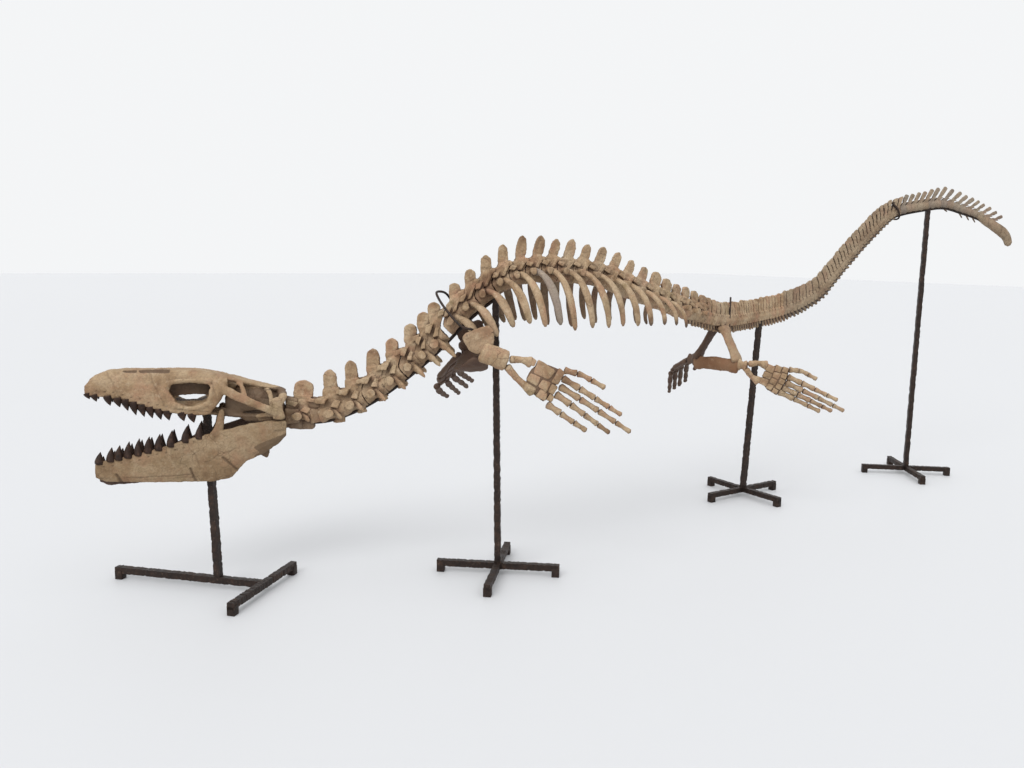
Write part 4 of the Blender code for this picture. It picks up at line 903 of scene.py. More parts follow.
# Bars of the skull: points, half widths, half depths and the direction of the width
MIDDLE_BARS = (
    (((0.500, 0, 0.966), (0.600, 0, 0.948), (0.700, 0, 0.918), (0.822, 0, 0.886)),
     (0.084, 0.060, 0.034, 0.034), (0.014, 0.015, 0.014, 0.012), ACROSS),
    (((0.600, 0, 0.892), (0.700, 0, 0.865), (0.790, 0, 0.826)),
     (0.034, 0.052, 0.048), (0.036, 0.046, 0.046), ACROSS),
)
SIDE_BARS = (
    (((0.800, 0.0, 0.882), (0.806, 0.070, 0.874), (0.788, 0.126, 0.852)),
     (0.022, 0.018, 0.020), (0.012, 0.012, 0.012), AHEAD),
    (((0.525, 0.090, 0.935), (0.590, 0.118, 0.900), (0.690, 0.130, 0.848), (0.785, 0.134, 0.806)),
     (0.024, 0.020, 0.017, 0.020), (0.012, 0.011, 0.010, 0.011), UP),
    (((0.772, 0.126, 0.876), (0.782, 0.128, 0.830), (0.782, 0.126, 0.776)),
     (0.022, 0.020, 0.029), (0.011, 0.010, 0.016), AHEAD),
    (((0.622, 0.045, 0.936), (0.634, 0.090, 0.922), (0.642, 0.122, 0.884)),
     (0.016, 0.010, 0.014), (0.008, 0.007, 0.008), AHEAD),
    (((0.738, 0.045, 0.902), (0.750, 0.090, 0.888), (0.758, 0.122, 0.834)),
     (0.016, 0.010, 0.014), (0.008, 0.007, 0.008), AHEAD),
    (((0.560, 0.048, 0.842), (0.620, 0.050, 0.846), (0.700, 0.058, 0.838), (0.775, 0.070, 0.832)),
     (0.034, 0.040, 0.030, 0.024), (0.006, 0.006, 0.006, 0.008), UP),
    (((0.535, 0.060, 0.822), (0.610, 0.056, 0.800), (0.670, 0.066, 0.774), (0.765, 0.096, 0.778)),
     (0.016, 0.014, 0.012, 0.012), (0.008, 0.008, 0.008, 0.008), UP),
    (((0.440, 0.040, 0.822), (0.560, 0.046, 0.800), (0.690, 0.070, 0.788), (0.775, 0.118, 0.800)),
     (0.024, 0.016, 0.014, 0.012), (0.012, 0.011, 0.011, 0.011), ACROSS),
    (((0.325, 0.074, 0.925), (0.352, 0.082, 0.952), (0.430, 0.084, 0.956), (0.515, 0.092, 0.948)),
     (0.012, 0.010, 0.010, 0.014), (0.007, 0.007, 0.007, 0.008), UP),
    (((0.350, 0.084, 0.856), (0.420, 0.090, 0.836), (0.492, 0.103, 0.858), (0.516, 0.102, 0.925)),
     (0.012, 0.011, 0.011, 0.014), (0.008, 0.007, 0.008, 0.010), UP),
)
# Lines scored into the bones: start, end, number of steps and sway
SKULL_SUTURES = (((0.098, 0.996), (0.150, 0.880), 7, 0.004), ((0.262, 0.990), (0.318, 0.850), 8, 0.004),
                 ((0.345, 0.835), (0.500, 0.822), 8, 0.003), ((0.512, 0.945), (0.530, 0.870), 5, 0.004))
JAW_SUTURES = (((0.140, 0.540), (0.414, 0.545), 10, 0.003), ((0.376, 0.712), (0.433, 0.632), 6, 0.004),
               ((0.433, 0.632), (0.450, 0.566), 4, 0.003), ((0.470, 0.600), (0.600, 0.660), 8, 0.004))
JAW_CRACKS = (((0.112, 0.556), (0.132, 0.515), 3, 0.002), ((0.410, 0.572), (0.432, 0.505), 3, 0.003),
              ((0.545, 0.618), (0.600, 0.562), 3, 0.003))
SCORE_WIDTH, CRACK_WIDTH = 0.0045, 0.008
NOSTRIL_SLITS = (((0.118, 0.026, 0.011), 0.282, 0.047, 0.9935),
                 ((0.052, 0.024, 0.010), 0.186, 0.041, 0.9945))
SLIT_SPANS = ((0.158, 0.214), (0.221, 0.343))
BRAINCASE_FROM = 0.535
CHEEK_HOLE = ((0.300, 0.870), (0.330, 0.905), (0.331, 0.850), (0.310, 0.835))


def column(sections, size):
    """One size of a list of sections, as (distance, size) pairs."""
    return [(section[0], section[size]) for section in sections]


def prism(outline, low, high):
    """Closed block with a side outline (distance, height) between two places across the head."""
    bpy.ops.mesh.primitive_cylinder_add(vertices=len(outline), radius=1.0, depth=1.0)
    piece = bpy.context.object
    corners = len(outline)
    for vertex in piece.data.vertices:
        turn = math.atan2(vertex.co.x, vertex.co.y) / (2 * math.pi) * corners
        x, z = outline[round(turn) % corners]
        vertex.co = Vector((x, low if vertex.co.z < 0 else high, z))
    face_outwards()
    return piece


def cut_out(piece, cutters):
    """Cut closed shapes out of a piece."""
    for cutter in cutters:
        opening = piece.modifiers.new("opening", 'BOOLEAN')
        opening.operation = 'DIFFERENCE'
        opening.solver = 'EXACT'
        opening.object = cutter
        only(piece)
        bpy.ops.object.modifier_apply(modifier=opening.name)
        bpy.data.objects.remove(cutter)


def outline_point(corners, share):
    """Point at a share of the way around an open outline of a section."""
    at = share * (len(corners) - 1)
    i = min(int(at), len(corners) - 2)
    (a, b), (c, d) = corners[i], corners[i + 1]
    return a + (c - a) * (at - i), b + (d - b) * (at - i)


def lofted(name, sections, half_outline, sides=28, cuts=44):
    """Closed shape with a mirrored outline that changes along the head."""
    start, end = sections[0][0], sections[-1][0]
    columns = [column(sections, size) for size in range(1, len(sections[0]))]

    def move(co):
        x = start + (end - start) * (co.z + 0.5)
        sizes = [table(pairs, x) for pairs in columns]
        turn = math.atan2(co.x, co.y) / math.pi
        y, z = outline_point(half_outline(*sizes), abs(turn))
        if abs(co.x) < 1e-6 and abs(co.y) < 1e-6:
            top, low = half_outline(*sizes)[0][1], half_outline(*sizes)[-1][1]
            y, z = 0.0, (top + low) / 2
        return Vector((x, math.copysign(y, co.x) if turn else 0.0, z))

    return copy_of(shaft_master(sides, cuts), name, move)


def skull_half(top, low, roof, edge):
    """Half outline of the skull, from the middle of the roof round to the middle of the palate."""
    middle = low + (top - low) * 0.45
    return ((0.0, top), (roof * 0.6, top - 0.001), (roof, top - 0.008), (edge * 0.93, middle + 0.03),
            (edge, middle), (edge, (middle + low) / 2), (edge * 0.96, low), (edge * 0.62, low + 0.008),
            (edge * 0.5, low + 0.018), (0.0, low + 0.020))


def skull_edge(x):
    """Half width of the skull at its tooth edge, and the height of that edge."""
    return table(column(SKULL_SECTIONS, 4), x), table(column(SKULL_SECTIONS, 2), x)


def scored(piece, lines, width, depth, dark):
    """Sutures and small holes: score lines (distance, height) into the sides of a head bone."""
    mesh = piece.data
    segments = [(Vector(a), Vector(b)) for line in lines for a, b in zip(line, line[1:] or line)]
    shade_and_stain_mask = mesh.attributes.get("shade_and_stain_mask") or mesh.attributes.new("shade_and_stain_mask", 'FLOAT', 'POINT')
    stains = [0.0] * len(mesh.vertices)
    shade_and_stain_mask.data.foreach_get("value", stains)
    values = [0.0] * len(mesh.vertices)
    for vertex in mesh.vertices:
        if abs(vertex.normal.y) < 0.25:
            continue
        spot = Vector((vertex.co.x, vertex.co.z))
        near = width
        for a, b in segments:
            if min(a.x, b.x) - width < spot.x < max(a.x, b.x) + width:
                along = b - a
                share = (spot - a).dot(along) / along.length_squared if along.length else 0.0
                near = min(near, (spot - a - along * min(max(share, 0.0), 1.0)).length)
        values[vertex.index] = 1.0 - near / width
    shifts = [vertex.normal * -depth * values[vertex.index] for vertex in mesh.vertices]
    for vertex, shift in zip(mesh.vertices, shifts):
        vertex.co += shift
    shade_and_stain_mask.data.foreach_set("value", [max(a, b * dark) for a, b in zip(stains, values)])


def crooked(start, end, steps, sway):
    """Wandering line between two places on the side of a bone."""
    start, end = Vector(start), Vector(end)
    across = Vector((-(end - start).y, (end - start).x)).normalized()
    line = [start.lerp(end, k / steps) for k in range(steps + 1)]
    return [p + across * (rng.uniform(-sway, sway) if 0 < k < steps else 0)
            for k, p in enumerate(line)]


def small_holes(count, start, gap, level_at):
    """Row of small holes at the height that a function gives along a tooth edge."""
    holes = []
    for k in range(count):
        x = start + gap * k
        z = level_at(x) + rng.uniform(-0.003, 0.003)
        holes.append([(x, z), (x + 0.004, z + 0.001)])
    return holes


def skull_bar(points, widths, depths, across):
    """Bar or plate of bone between two openings of the skull."""
    return shaft("bar", points, widths, depths, across, 14, 22, 0.6)


def skull():
    """Skull in one piece, with its openings, bars, seams and painted shade in its hollows."""
    main = lofted("cranium", SKULL_SECTIONS, skull_half)
    cutters = [prism(ORBIT_WINDOW, -0.15, 0.15)]
    for side in (1, -1):
        cutters.append(prism(ORBIT_OUTLINE, side * ORBIT_WALL, side * 0.2))
        for size, x, y, z in NOSTRIL_SLITS:
            cutters.append(block(size, (x, side * y, z), (side * -18, 0, 0)))
        cutters.append(prism(CHEEK_HOLE, side * 0.077, side * 0.1))
    cut_out(main, cutters)
    parts = [main]
    start, back, _, _ = column_frame(0.0)
    condyle = HEAD.inverted() @ start
    before = HEAD.inverted() @ (start - back * 0.055)
    parts += [skull_bar(*bar) for bar in MIDDLE_BARS]
    parts.append(skull_bar((before, condyle), (0.040, 0.034), (0.038, 0.034), ACROSS))
    parts.append(skull_bar(((0.770, 0, 0.83), before), (0.045, 0.040), (0.044, 0.038), ACROSS))
    for side in (1, -1):
        for points, widths, depths, across in SIDE_BARS:
            parts.append(skull_bar([(x, side * y, z) for x, y, z in points], widths, depths, across))
    piece = fused(parts, "skull_bones", SKULL_GRAIN, 4)
    sutures = [crooked(*line) for line in SKULL_SUTURES]
    holes = small_holes(9, 0.050, 0.034, lambda x: skull_edge(x)[1] + 0.030)

    def painted_shade(vertex):
        """Painted shade on the walls of the eye opening, in the hollow behind it and in the nostril
        slits.
        """
        x, y, z = abs(vertex.co.x), abs(vertex.co.y), vertex.co.z
        wall = min(0.084, 0.066 + 0.13 * (x - 0.33))
        if 0.334 < x < 0.516 and 0.884 < z < 0.952 and y < wall and vertex.normal.z < 0.6:
            return 0.95
        if x > BRAINCASE_FROM and z < 0.905 and y < 0.098 - 0.1 * (x - BRAINCASE_FROM):
            return 0.85
        slit = any(start < x < end for start, end in SLIT_SPANS)
        if slit and 0.984 < z < 1.001 and 0.026 < y < table(column(SKULL_SECTIONS, 3), x) - 0.001:
            return 0.9
        return 0.0

    # Paint the shade of the eye opening, the hollow behind it and the slits into the colour
    painted(piece, "shade_and_stain_mask", painted_shade)
    scored(piece, sutures, SCORE_WIDTH, 0.002, 0.35)
    scored(piece, holes, SCORE_WIDTH, 0.003, 0.8)
    weathered(piece, *HEAD_WEAR)
    painted(piece, "tone", lambda v: (0.44 + 0.08 * math.sin(v.co.x * 19)
                                      + 0.06 * math.sin(v.co.z * 41 + v.co.x * 7)))
    piece.data.transform(HEAD)
    settle(piece, SKULL_BONE, "fossil_bone", "skull")


def jaw_place(side):
    """Place of one half of the lower jaw; the right half hangs a little wider open."""
    if side < 0:
        return HEAD
    return (HEAD @ Matrix.Translation(JAW_HINGE) @ Matrix.Rotation(-JAW_RIGHT_DROP, 4, 'Y')
            @ Matrix.Translation(-JAW_HINGE))


def jaw(name, side):
    """One half of the lower jaw."""
    start, end = JAW_SECTIONS[0][0], JAW_SECTIONS[-1][0]
    lows, highs = column(JAW_SECTIONS, 1), column(JAW_SECTIONS, 2)

    def move(co):
        x = start + (end - start) * (co.z + 0.5)
        if abs(co.x) < 1e-6 and abs(co.y) < 1e-6:
            a, b = 0.0, 0.5
        else:
            turn = (math.atan2(co.x, co.y) / (2 * math.pi)) % 1.0
            a, b = outline_point(JAW_SHAPE, turn)
        low, high = table(lows, x), table(highs, x)
        bulge = 1.0 + 0.12 * math.sin(b * math.pi)
        return Vector((x, side * (table(JAW_OUT, x) + table(JAW_HALF_THICK, x) * a * bulge),
                       low + (high - low) * b))

    main = copy_of(shaft_master(32, 60), "jaw_half", move)
    out = table(JAW_OUT, 0.545)
    coronoid = shaft("coronoid", ((0.505, side * out, 0.680), (0.532, side * (out - 0.004), 0.745),
                                  (0.548, side * (out - 0.008), 0.828)),
                     (0.036, 0.019, 0.013), (0.012, 0.010, 0.008), AHEAD, 14, 14, 0.7)
    hook = shaft("hook", ((0.690, side * 0.100, 0.670), (0.716, side * 0.098, 0.638),
                          (0.730, side * 0.096, 0.604)),
                 (0.036, 0.026, 0.011), (0.010, 0.008, 0.006), AHEAD, 12, 12, 0.5)
    joint = pebble("joint", Vector((0.784, side * 0.124, 0.752)), (0.030, 0.019, 0.020),
                   (AHEAD, ACROSS, UP))
    only(main)
    face_outwards()
    piece = fused([main, coronoid, joint, hook], name + "_bone", JAW_GRAIN, 4)
    sutures = [crooked(*line) for line in JAW_SUTURES]
    cracks = [crooked(*line) for line in JAW_CRACKS]
    holes = small_holes(10, 0.060, 0.036, lambda x: table(highs, x) - 0.026)

    def painted_shade(vertex):
        """Painted shade in the hollow under the hinge, with a jagged edge, and on the inner side."""
        x, z = vertex.co.x, vertex.co.z
        inner = vertex.normal.y * side < -0.3
        if x > 0.685 + 0.010 * math.sin(z * 160) and z < 0.664 + (x - 0.668) * 0.38:
            return 0.85
        return 0.45 if inner else 0.0

    # Paint the shade of the hollow under the hinge and of the inner side into the colour
    painted(piece, "shade_and_stain_mask", painted_shade)
    scored(piece, sutures, SCORE_WIDTH, 0.002, 0.4)
    scored(piece, cracks, CRACK_WIDTH, 0.006, 1.0)
    scored(piece, holes, SCORE_WIDTH, 0.003, 0.8)
    weathered(piece, *HEAD_WEAR)
    painted(piece, "tone", lambda v: 0.42 + 0.10 * math.sin(v.co.x * 15 + side))
    piece.data.transform(jaw_place(side))
    # The right half is the far one and gets the darker bone: painted shade
    settle(piece, JAW_BONE if side < 0 else SHADED_BONE, "fossil_bone", name)


def tooth(root, tip, radius):
    """Curved pointed tooth with faint ridges."""
    root, tip = Vector(root), Vector(tip)
    way = tip - root
    side = (ACROSS - way.normalized() * ACROSS.dot(way.normalized())).normalized()
    normal = way.normalized().cross(side)
    bend = 0.045 * way.length * (1 if way.z > 0 else -1)

    def move(co):
        t = co.z + 0.5
        size = radius * (1 - max(0.0, (t - 0.10) / 0.90) ** 1.35) + 0.0008
        ridge = 1.0 + 0.035 * math.cos(6 * math.atan2(co.y, co.x))
        return (root + way * t + normal * (co.x * size * ridge + bend * math.sin(math.pi * t))
                + side * co.y * size * 0.9 * ridge)

    return copy_of(shaft_master(12, 12), "tooth", move)


def upper_tooth(x, tip, side):
    width, edge = skull_edge(x)
    radius = TOOTH_RADIUS * (FRONT_TOOTH_SHARE if x < 0.06 else 1.0)
    return tooth((x - 0.002, side * width * 0.80, edge + 0.012), (x + 0.005, side * width * 0.88, tip),
                 radius)


def lower_tooth(x, tip, side):
    edge, out = table(column(JAW_SECTIONS, 2), x), side * table(JAW_OUT, x)
    return tooth((x, out, edge - 0.010), (x + 0.006, out, tip), TOOTH_RADIUS)


def teeth():
    """All teeth, joined jaw by jaw."""
    for word, tips, shaped in (("upper", UPPER_TIPS, upper_tooth), ("lower", LOWER_TIPS, lower_tooth)):
        for side in (-1, 1):
            row = [shaped(x, tip, side) for x, tip in tips]
            piece = joined(row, f"teeth_{word}_{'left' if side < 0 else 'right'}")
            piece.data.transform(HEAD if word == "upper" else jaw_place(side))
            settle(piece, ENAMEL, "fossil_bone")


skull()
jaw("jaw_left", -1)
jaw("jaw_right", 1)
teeth()


# Girdles and paddles

SHOULDER_AT, HIP_AT = 1.035, 2.740
SCAPULA_LINE = ((-0.040, 0.160, 1.178), (-0.022, 0.166, 1.130), (0.012, 0.171, 1.082))
CORACOID_LINE = ((-0.020, 0.150, 1.050), (-0.040, 0.085, 0.998), (-0.060, 0.006, 0.975))
ILIUM_LINE = ((0.015, 0.020, 1.114), (0.010, 0.065, 1.030), (0.004, 0.105, 0.960),
              (0.000, 0.125, 0.915))
PUBIS_LINE = ((-0.006, 0.136, 0.896), (-0.012, 0.064, 0.898), (-0.014, 0.000, 0.901))
HOOP_NEAR = ((-0.050, 0.160, 1.174), (-0.105, 0.150, 1.190), (-0.158, 0.105, 1.248),
             (-0.192, 0.055, 1.300), (-0.198, 0.000, 1.330))
HOOP_FAR = ((-0.050, 0.160, 1.174), (-0.072, 0.150, 1.214), (-0.118, 0.105, 1.280),
            (-0.155, 0.055, 1.324))
FRONT_LEFT = ((-1.163, -0.552, 1.034), (-0.960, -0.612, 0.920), (-0.780, -0.668, 0.808),
              (-0.600, -0.715, 0.700))
FRONT_RIGHT = ((-1.250, -0.195, 1.043), (-1.270, -0.080, 0.960), (-1.235, 0.040, 0.885),
               (-1.080, 0.260, 0.800))
HIND_LEFT = ((0.415, -0.132, 0.900), (0.600, -0.190, 0.818), (0.780, -0.245, 0.735),
             (0.961, -0.300, 0.649))
HIND_RIGHT = ((0.272, 0.225, 0.905), (0.312, 0.335, 0.876), (0.358, 0.440, 0.826),
              (0.445, 0.585, 0.690))
# Lower limb bones and fingers through their spots (along, across), and wrist blocks (along,
# across, half length, half width)
FRONT_SHINS = (((0.002, 0.014), (0.050, 0.037), (0.098, 0.048)),
               ((0.002, -0.016), (0.078, -0.046), (0.172, -0.066)))
HIND_SHINS = (((0.002, 0.014), (0.050, 0.040), (0.104, 0.050)),
              ((0.002, -0.014), (0.050, -0.040), (0.104, -0.050)))
FRONT_WRIST = ((0.100, 0.052, 0.012, 0.016), (0.160, 0.042, 0.046, 0.030),
               (0.228, 0.048, 0.018, 0.036), (0.138, -0.012, 0.027, 0.022),
               (0.193, -0.013, 0.024, 0.023), (0.206, -0.056, 0.024, 0.020),
               (0.234, -0.012, 0.016, 0.022), (0.246, -0.050, 0.014, 0.017))
HIND_WRIST = ((0.124, 0.040, 0.024, 0.021), (0.128, 0.000, 0.024, 0.018),
              (0.124, -0.040, 0.024, 0.020), (0.166, 0.056, 0.019, 0.018),
              (0.172, 0.019, 0.022, 0.018), (0.172, -0.018, 0.021, 0.017),
              (0.166, -0.052, 0.020, 0.016), (0.206, 0.066, 0.018, 0.016),
              (0.213, 0.033, 0.018, 0.016), (0.216, 0.000, 0.019, 0.015),
              (0.213, -0.032, 0.018, 0.016), (0.206, -0.062, 0.018, 0.014))
FRONT_FINGERS = (((0.236, 0.086), (0.312, 0.108), (0.432, 0.112)),
                 ((0.246, 0.052), (0.400, 0.050), (0.563, 0.045)),
                 ((0.254, 0.014), (0.440, 0.010), (0.642, -0.002)),
                 ((0.256, -0.024), (0.400, -0.036), (0.560, -0.052)),
                 ((0.246, -0.082), (0.350, -0.090), (0.464, -0.095)))
HIND_FINGERS = (((0.226, 0.076), (0.296, 0.098), (0.395, 0.092)),
                ((0.236, 0.038), (0.390, 0.038), (0.560, 0.036)),
                ((0.240, 0.004), (0.430, 0.002), (0.633, -0.002)),
                ((0.236, -0.028), (0.400, -0.030), (0.561, -0.032)),
                ((0.228, -0.058), (0.360, -0.060), (0.499, -0.062)))
WRIST_END = 0.234
PHALANX_RADIUS = 0.0168


def placed(origin, points, side=1):
    """Points given as (back, left, height) in a level frame on the column."""
    middle, back, _, _ = column_frame(origin)
    level_back = level(back)
    level_left = level_back.cross(UP)
    return [Vector((middle.x, middle.y, 0.0)) + level_back * b + level_left * l * side + UP * z
            for b, l, z in points]


def level_back_at(origin):
    """Level backward direction at a place on the column."""
    return level(column_frame(origin)[1])


def limb_bone(name, points, widths, depths, across, finish, *nodes, tone=0.5):
    """One large bone of a girdle or limb, with worn ends."""
    bone = shaft(name, points, widths, depths, across, 28, 44, 0.35, tone)
    bone_piece([bone], name + "_bone", LIMB_WEAR, finish, *nodes)


def paddle(name, line, across, shins, plates, fingers, finish, wide=1.0):
    """Forearm or shin bones, wrist blocks on a thin dark sheet that paints the shade in the gaps
    between them, and five fingers, on a bent line.
    """
    knots = smooth_line(line, 8)
    distances = lengths_along(knots)

    def axes(u):
        point, ahead = point_on(knots, distances, u)
        side = (across - ahead * across.dot(ahead)).normalized()
        return point, ahead, side, ahead.cross(side)

    def place(u, v, w=0.0):
        point, _, side, normal = axes(u)
        return point + side * v * wide + normal * w

    parts = []
    for shin in shins:
        parts.append(shaft("shin", [place(*spot) for spot in shin], (0.018, 0.0145, 0.026),
                           (0.015, 0.010, 0.013), across, 20, 24, 0.5, 0.5))
    for u, v, half_length, half_width in plates:
        point, ahead, side, normal = axes(u)
        size = (half_length * rng.uniform(0.92, 0.98), half_width * 0.96, 0.0110)
        parts.append(pebble("wrist", point + side * v, size, (ahead, side, normal),
                            rng.uniform(0.40, 0.56)))
    for finger, path in enumerate(fingers):
        joints = 4 if 0 < finger < 4 else 3
        shares = [0.0]
        for k in range(joints):
            shares.append(shares[-1] + 1.25 - 0.12 * k)
        shares = [share / shares[-1] for share in shares]
        tone = rng.uniform(0.36, 0.60)
        for first, last in zip(shares, shares[1:]):
            size = vary(PHALANX_RADIUS * (1.12 - 0.42 * first), 0.05)
            ends = [place(*outline_point(path, first)), place(*outline_point(path, last))]
            middle = place(*outline_point(path, (first + last) / 2))
            bone = shaft("phalanx", (ends[0], middle, ends[1]), (size, size * 0.70, size * 0.92),
                         (size * 0.8, size * 0.60, size * 0.74), across, 14, 16, 0.35, tone)
            painted(bone, "shade_and_stain_mask", lambda v: max(0.0, 1 - min((v.co - end).length
                                                               for end in ends) / size * 0.9))
            parts.append(bone)
    # Dark sheet under the wrist blocks: painted shade in the gaps between them
    middle_line = [place(0.108, 0), place(0.170, 0), place(WRIST_END + 0.004, 0)]
    sheet = shaft("sheet", middle_line, (0.050, 0.074, 0.082), (0.0085, 0.0085, 0.0065), across, 20,
                   10, 0.2, 0.0, 0.0, 0.6)
    bone_piece([*parts, sheet], name + "_bones", PADDLE_WEAR, finish, name)


def shoulder(name, side, line, across, finish):
    """Shoulder blade, coracoid, upper arm bone and paddle of one side."""
    back = level_back_at(SHOULDER_AT)
    word = "left" if side > 0 else "right"
    socket = placed(SHOULDER_AT, [(-0.020, 0.172, 1.084)], side)[0]
    elbow = Vector(line[0])
    limb_bone("scapula_" + word, placed(SHOULDER_AT, SCAPULA_LINE, side), (0.072, 0.066, 0.038),
              (0.009, 0.010, 0.019), back, finish, "scapula_" + word, tone=0.12)
    limb_bone("humerus_" + word, (socket, (socket + elbow) / 2, elbow), (0.046, 0.045, 0.046),
              (0.030, 0.029, 0.024), UP, finish, "humerus_" + word)
    # The coracoids face down and get the darker bone: painted shade
    limb_bone("coracoid_" + word, placed(SHOULDER_AT, CORACOID_LINE, side), (0.038, 0.062, 0.070),
              (0.015, 0.009, 0.007), back, SHADED_BONE, "coracoid_" + word)
    paddle(name, line, across, FRONT_SHINS, FRONT_WRIST, FRONT_FINGERS, finish)


def hip(name, side, line, across, finish):
    """Hip bone, thigh bone and paddle of one side."""
    back = level_back_at(HIP_AT)
    word = "left" if side > 0 else "right"
    start = placed(HIP_AT, [(0.0, 0.128, 0.905)], side)[0]
    knee = Vector(line[0])
    limb_bone("ilium_" + word, placed(HIP_AT, ILIUM_LINE, side), (0.072, 0.046, 0.044, 0.058),
              (0.016, 0.014, 0.016, 0.022), back, finish, "ilium_" + word, tone=0.15)
    limb_bone("femur_" + word, (start, (start + knee) / 2, knee), (0.038, 0.023, 0.035),
              (0.022, 0.015, 0.017), UP, finish, "femur_" + word)
    paddle(name, line, across, HIND_SHINS, HIND_WRIST, HIND_FINGERS, finish,
           1.0 if side > 0 else 1.3)


def hip_bar():
    """Two pubic bones that meet in one bar under the body."""
    points = placed(HIP_AT, PUBIS_LINE) + placed(HIP_AT, PUBIS_LINE[-2::-1], -1)
    limb_bone("pubis", points, (0.045, 0.036, 0.038, 0.035, 0.043),
              (0.024, 0.020, 0.020, 0.020, 0.024), UP, RED_BONE, "pubis_left", "pubis_right",
              tone=0.12)


shoulder("paddle_front_left", 1, FRONT_LEFT, Vector((0.461, -0.180, 0.868)), BONE)
# The far right girdles and paddles get the darker bone: painted shade
shoulder("paddle_front_right", -1, FRONT_RIGHT, Vector((0.85, 0.10, 0.50)), SHADED_BONE)
hip("paddle_hind_left", 1, HIND_LEFT, Vector((0.394, -0.155, 0.906)), BONE)
hip("paddle_hind_right", -1, HIND_RIGHT, Vector((0.90, 0.05, 0.40)), SHADED_BONE)
hip_bar()


# Iron stands

BAR, BAR_TOP, FOOT, POLE, CROSS_HALF = 0.030, 0.058, 0.036, 0.030, 0.292
BAR_LEVEL = BAR_TOP - BAR / 2
BAR_RINGS = 96
HAMMER_NECK, HAMMER_NECK_DEPTH = 0.009, 0.0038
COLLAR_RISE, COLLAR_SHARE = 0.003, 0.18
ROD_RADIUS, RAIL_CHEST, RAIL_TAIL, HOOP_RADIUS = 0.009, 0.008, 0.007, 0.0055


def bar_master():
    """Square bar of unit size with rounded long edges and many loops along it."""
    if "bar" not in MASTERS:
        bpy.ops.mesh.primitive_cube_add(size=1.0)
        piece = bpy.context.object
        edit()
        pick_edges(piece, lambda a, b: abs(a.z - b.z) > 0.9)
        bpy.ops.mesh.bevel(offset=0.13, segments=2, affect='EDGES')
        cut_loops(piece, 1.0, BAR_RINGS - 1)
        leave_edit()
        MASTERS["bar"] = piece
    return MASTERS["bar"]


def iron_bar(start, end, way, size, end_size=None, hammered=0.0009):
    """Forged square bar between two points: hammer marks and small necks along it."""
    start, end, way = Vector(start), Vector(end), Vector(way)
    side = (end - start).normalized().cross(way).normalized()
    length = (end - start).length
    marks = [[rng.uniform(-hammered, hammered) for _ in range(4)] for _ in range(BAR_RINGS + 2)]
    necks = []
    at = rng.uniform(0.03, 0.09)
    while at < length:
        necks.append(at / length)
        at += rng.uniform(0.06, 0.11)

    def move(co):
        t = co.z + 0.5
        row = marks[round(t * BAR_RINGS)]
        wide = size + ((end_size or size) - size) * t
        near = min([abs(t - n) * length for n in necks] or [1.0])
        wide -= HAMMER_NECK_DEPTH * max(0.0, 1.0 - near / HAMMER_NECK)
        x = co.x * wide + row[0] + (row[1] if co.x > 0 else 0.0)
        y = co.y * wide + row[2] + (row[3] if co.y > 0 else 0.0)
        return start.lerp(end, t) + way * x + side * y

    return copy_of(bar_master(), "bar", move)


def iron_foot(spot, way, side):
    """Small square foot under a bar."""
    bpy.ops.mesh.primitive_cube_add(size=1.0)
    piece = bpy.context.object
    edit()
    bpy.ops.mesh.select_all(action='SELECT')
    bpy.ops.mesh.bevel(offset=0.07, segments=2, affect='EDGES')
    leave_edit()
    for vertex in piece.data.vertices:
        co = vertex.co
        vertex.co = spot + way * co.x * FOOT + side * co.y * FOOT + UP * co.z * BAR_LEVEL
    return piece


def direction(yaw):
    """Level direction at some degrees from the x axis."""
    return Vector((math.cos(math.radians(yaw)), math.sin(math.radians(yaw)), 0.0))


def iron_piece(parts, name, *nodes):
    """Iron parts joined into one piece, smooth along its faces and crisp at its edges."""
    piece = joined(parts, name)
    settle(piece, IRON, "forged_iron", *nodes)
    only(piece)
    bpy.ops.object.shade_smooth_by_angle(angle=math.radians(35))


def footed_bar(middle, yaw, half):
    """Level bar with a foot under each end."""
    way = direction(yaw)
    side = Vector((-way.y, way.x, 0.0))
    parts = [iron_bar(middle - way * half, middle + way * half, side, BAR)]
    for sign in (1, -1):
        spot = middle + way * sign * (half - FOOT / 2)
        spot.z = BAR_LEVEL / 2
        parts.append(iron_foot(spot, way, side))
    return parts


def cross_base(name, middle, yaws):
    """Base of two crossed bars, with a low collar where the pole stands."""
    centre = Vector((middle[0], middle[1], BAR_LEVEL))
    parts = footed_bar(centre, yaws[0], CROSS_HALF) + footed_bar(centre, yaws[1], CROSS_HALF)
    collar = iron_foot(Vector((middle[0], middle[1], BAR_TOP + COLLAR_RISE)), direction(yaws[0]),
                       direction(yaws[0] + 90))
    for vertex in collar.data.vertices:
        vertex.co.z = BAR_TOP + (vertex.co.z - BAR_TOP) * COLLAR_SHARE
    iron_piece(parts + [collar], name + "_forged", name)


def tee_base(name, bar_end, tee_middle, yaw, half):
    """Base of one long bar that ends in the middle of a shorter one."""
    start, end = Vector((*bar_end, BAR_LEVEL)), Vector((*tee_middle, BAR_LEVEL))
    way = (end - start).normalized()
    side = Vector((-way.y, way.x, 0.0))
    foot = start + way * FOOT / 2
    foot.z = BAR_LEVEL / 2
    iron_piece([iron_bar(start, end, side, BAR), iron_foot(foot, way, side),
                *footed_bar(end, yaw, half)], name + "_forged", name)


def pole(foot, top, yaw):
    """Square pole that narrows a little to its top."""
    return iron_bar(foot, top, direction(yaw), POLE, POLE * 0.92, 0.0011)


def round_rod(points, radius, cuts=40):
    """Round iron along a line."""
    return shaft("rod", points, (radius, radius), (radius, radius), UP if len(points) < 3 else ACROSS,
                 10, cuts, 0.3, 0.5)


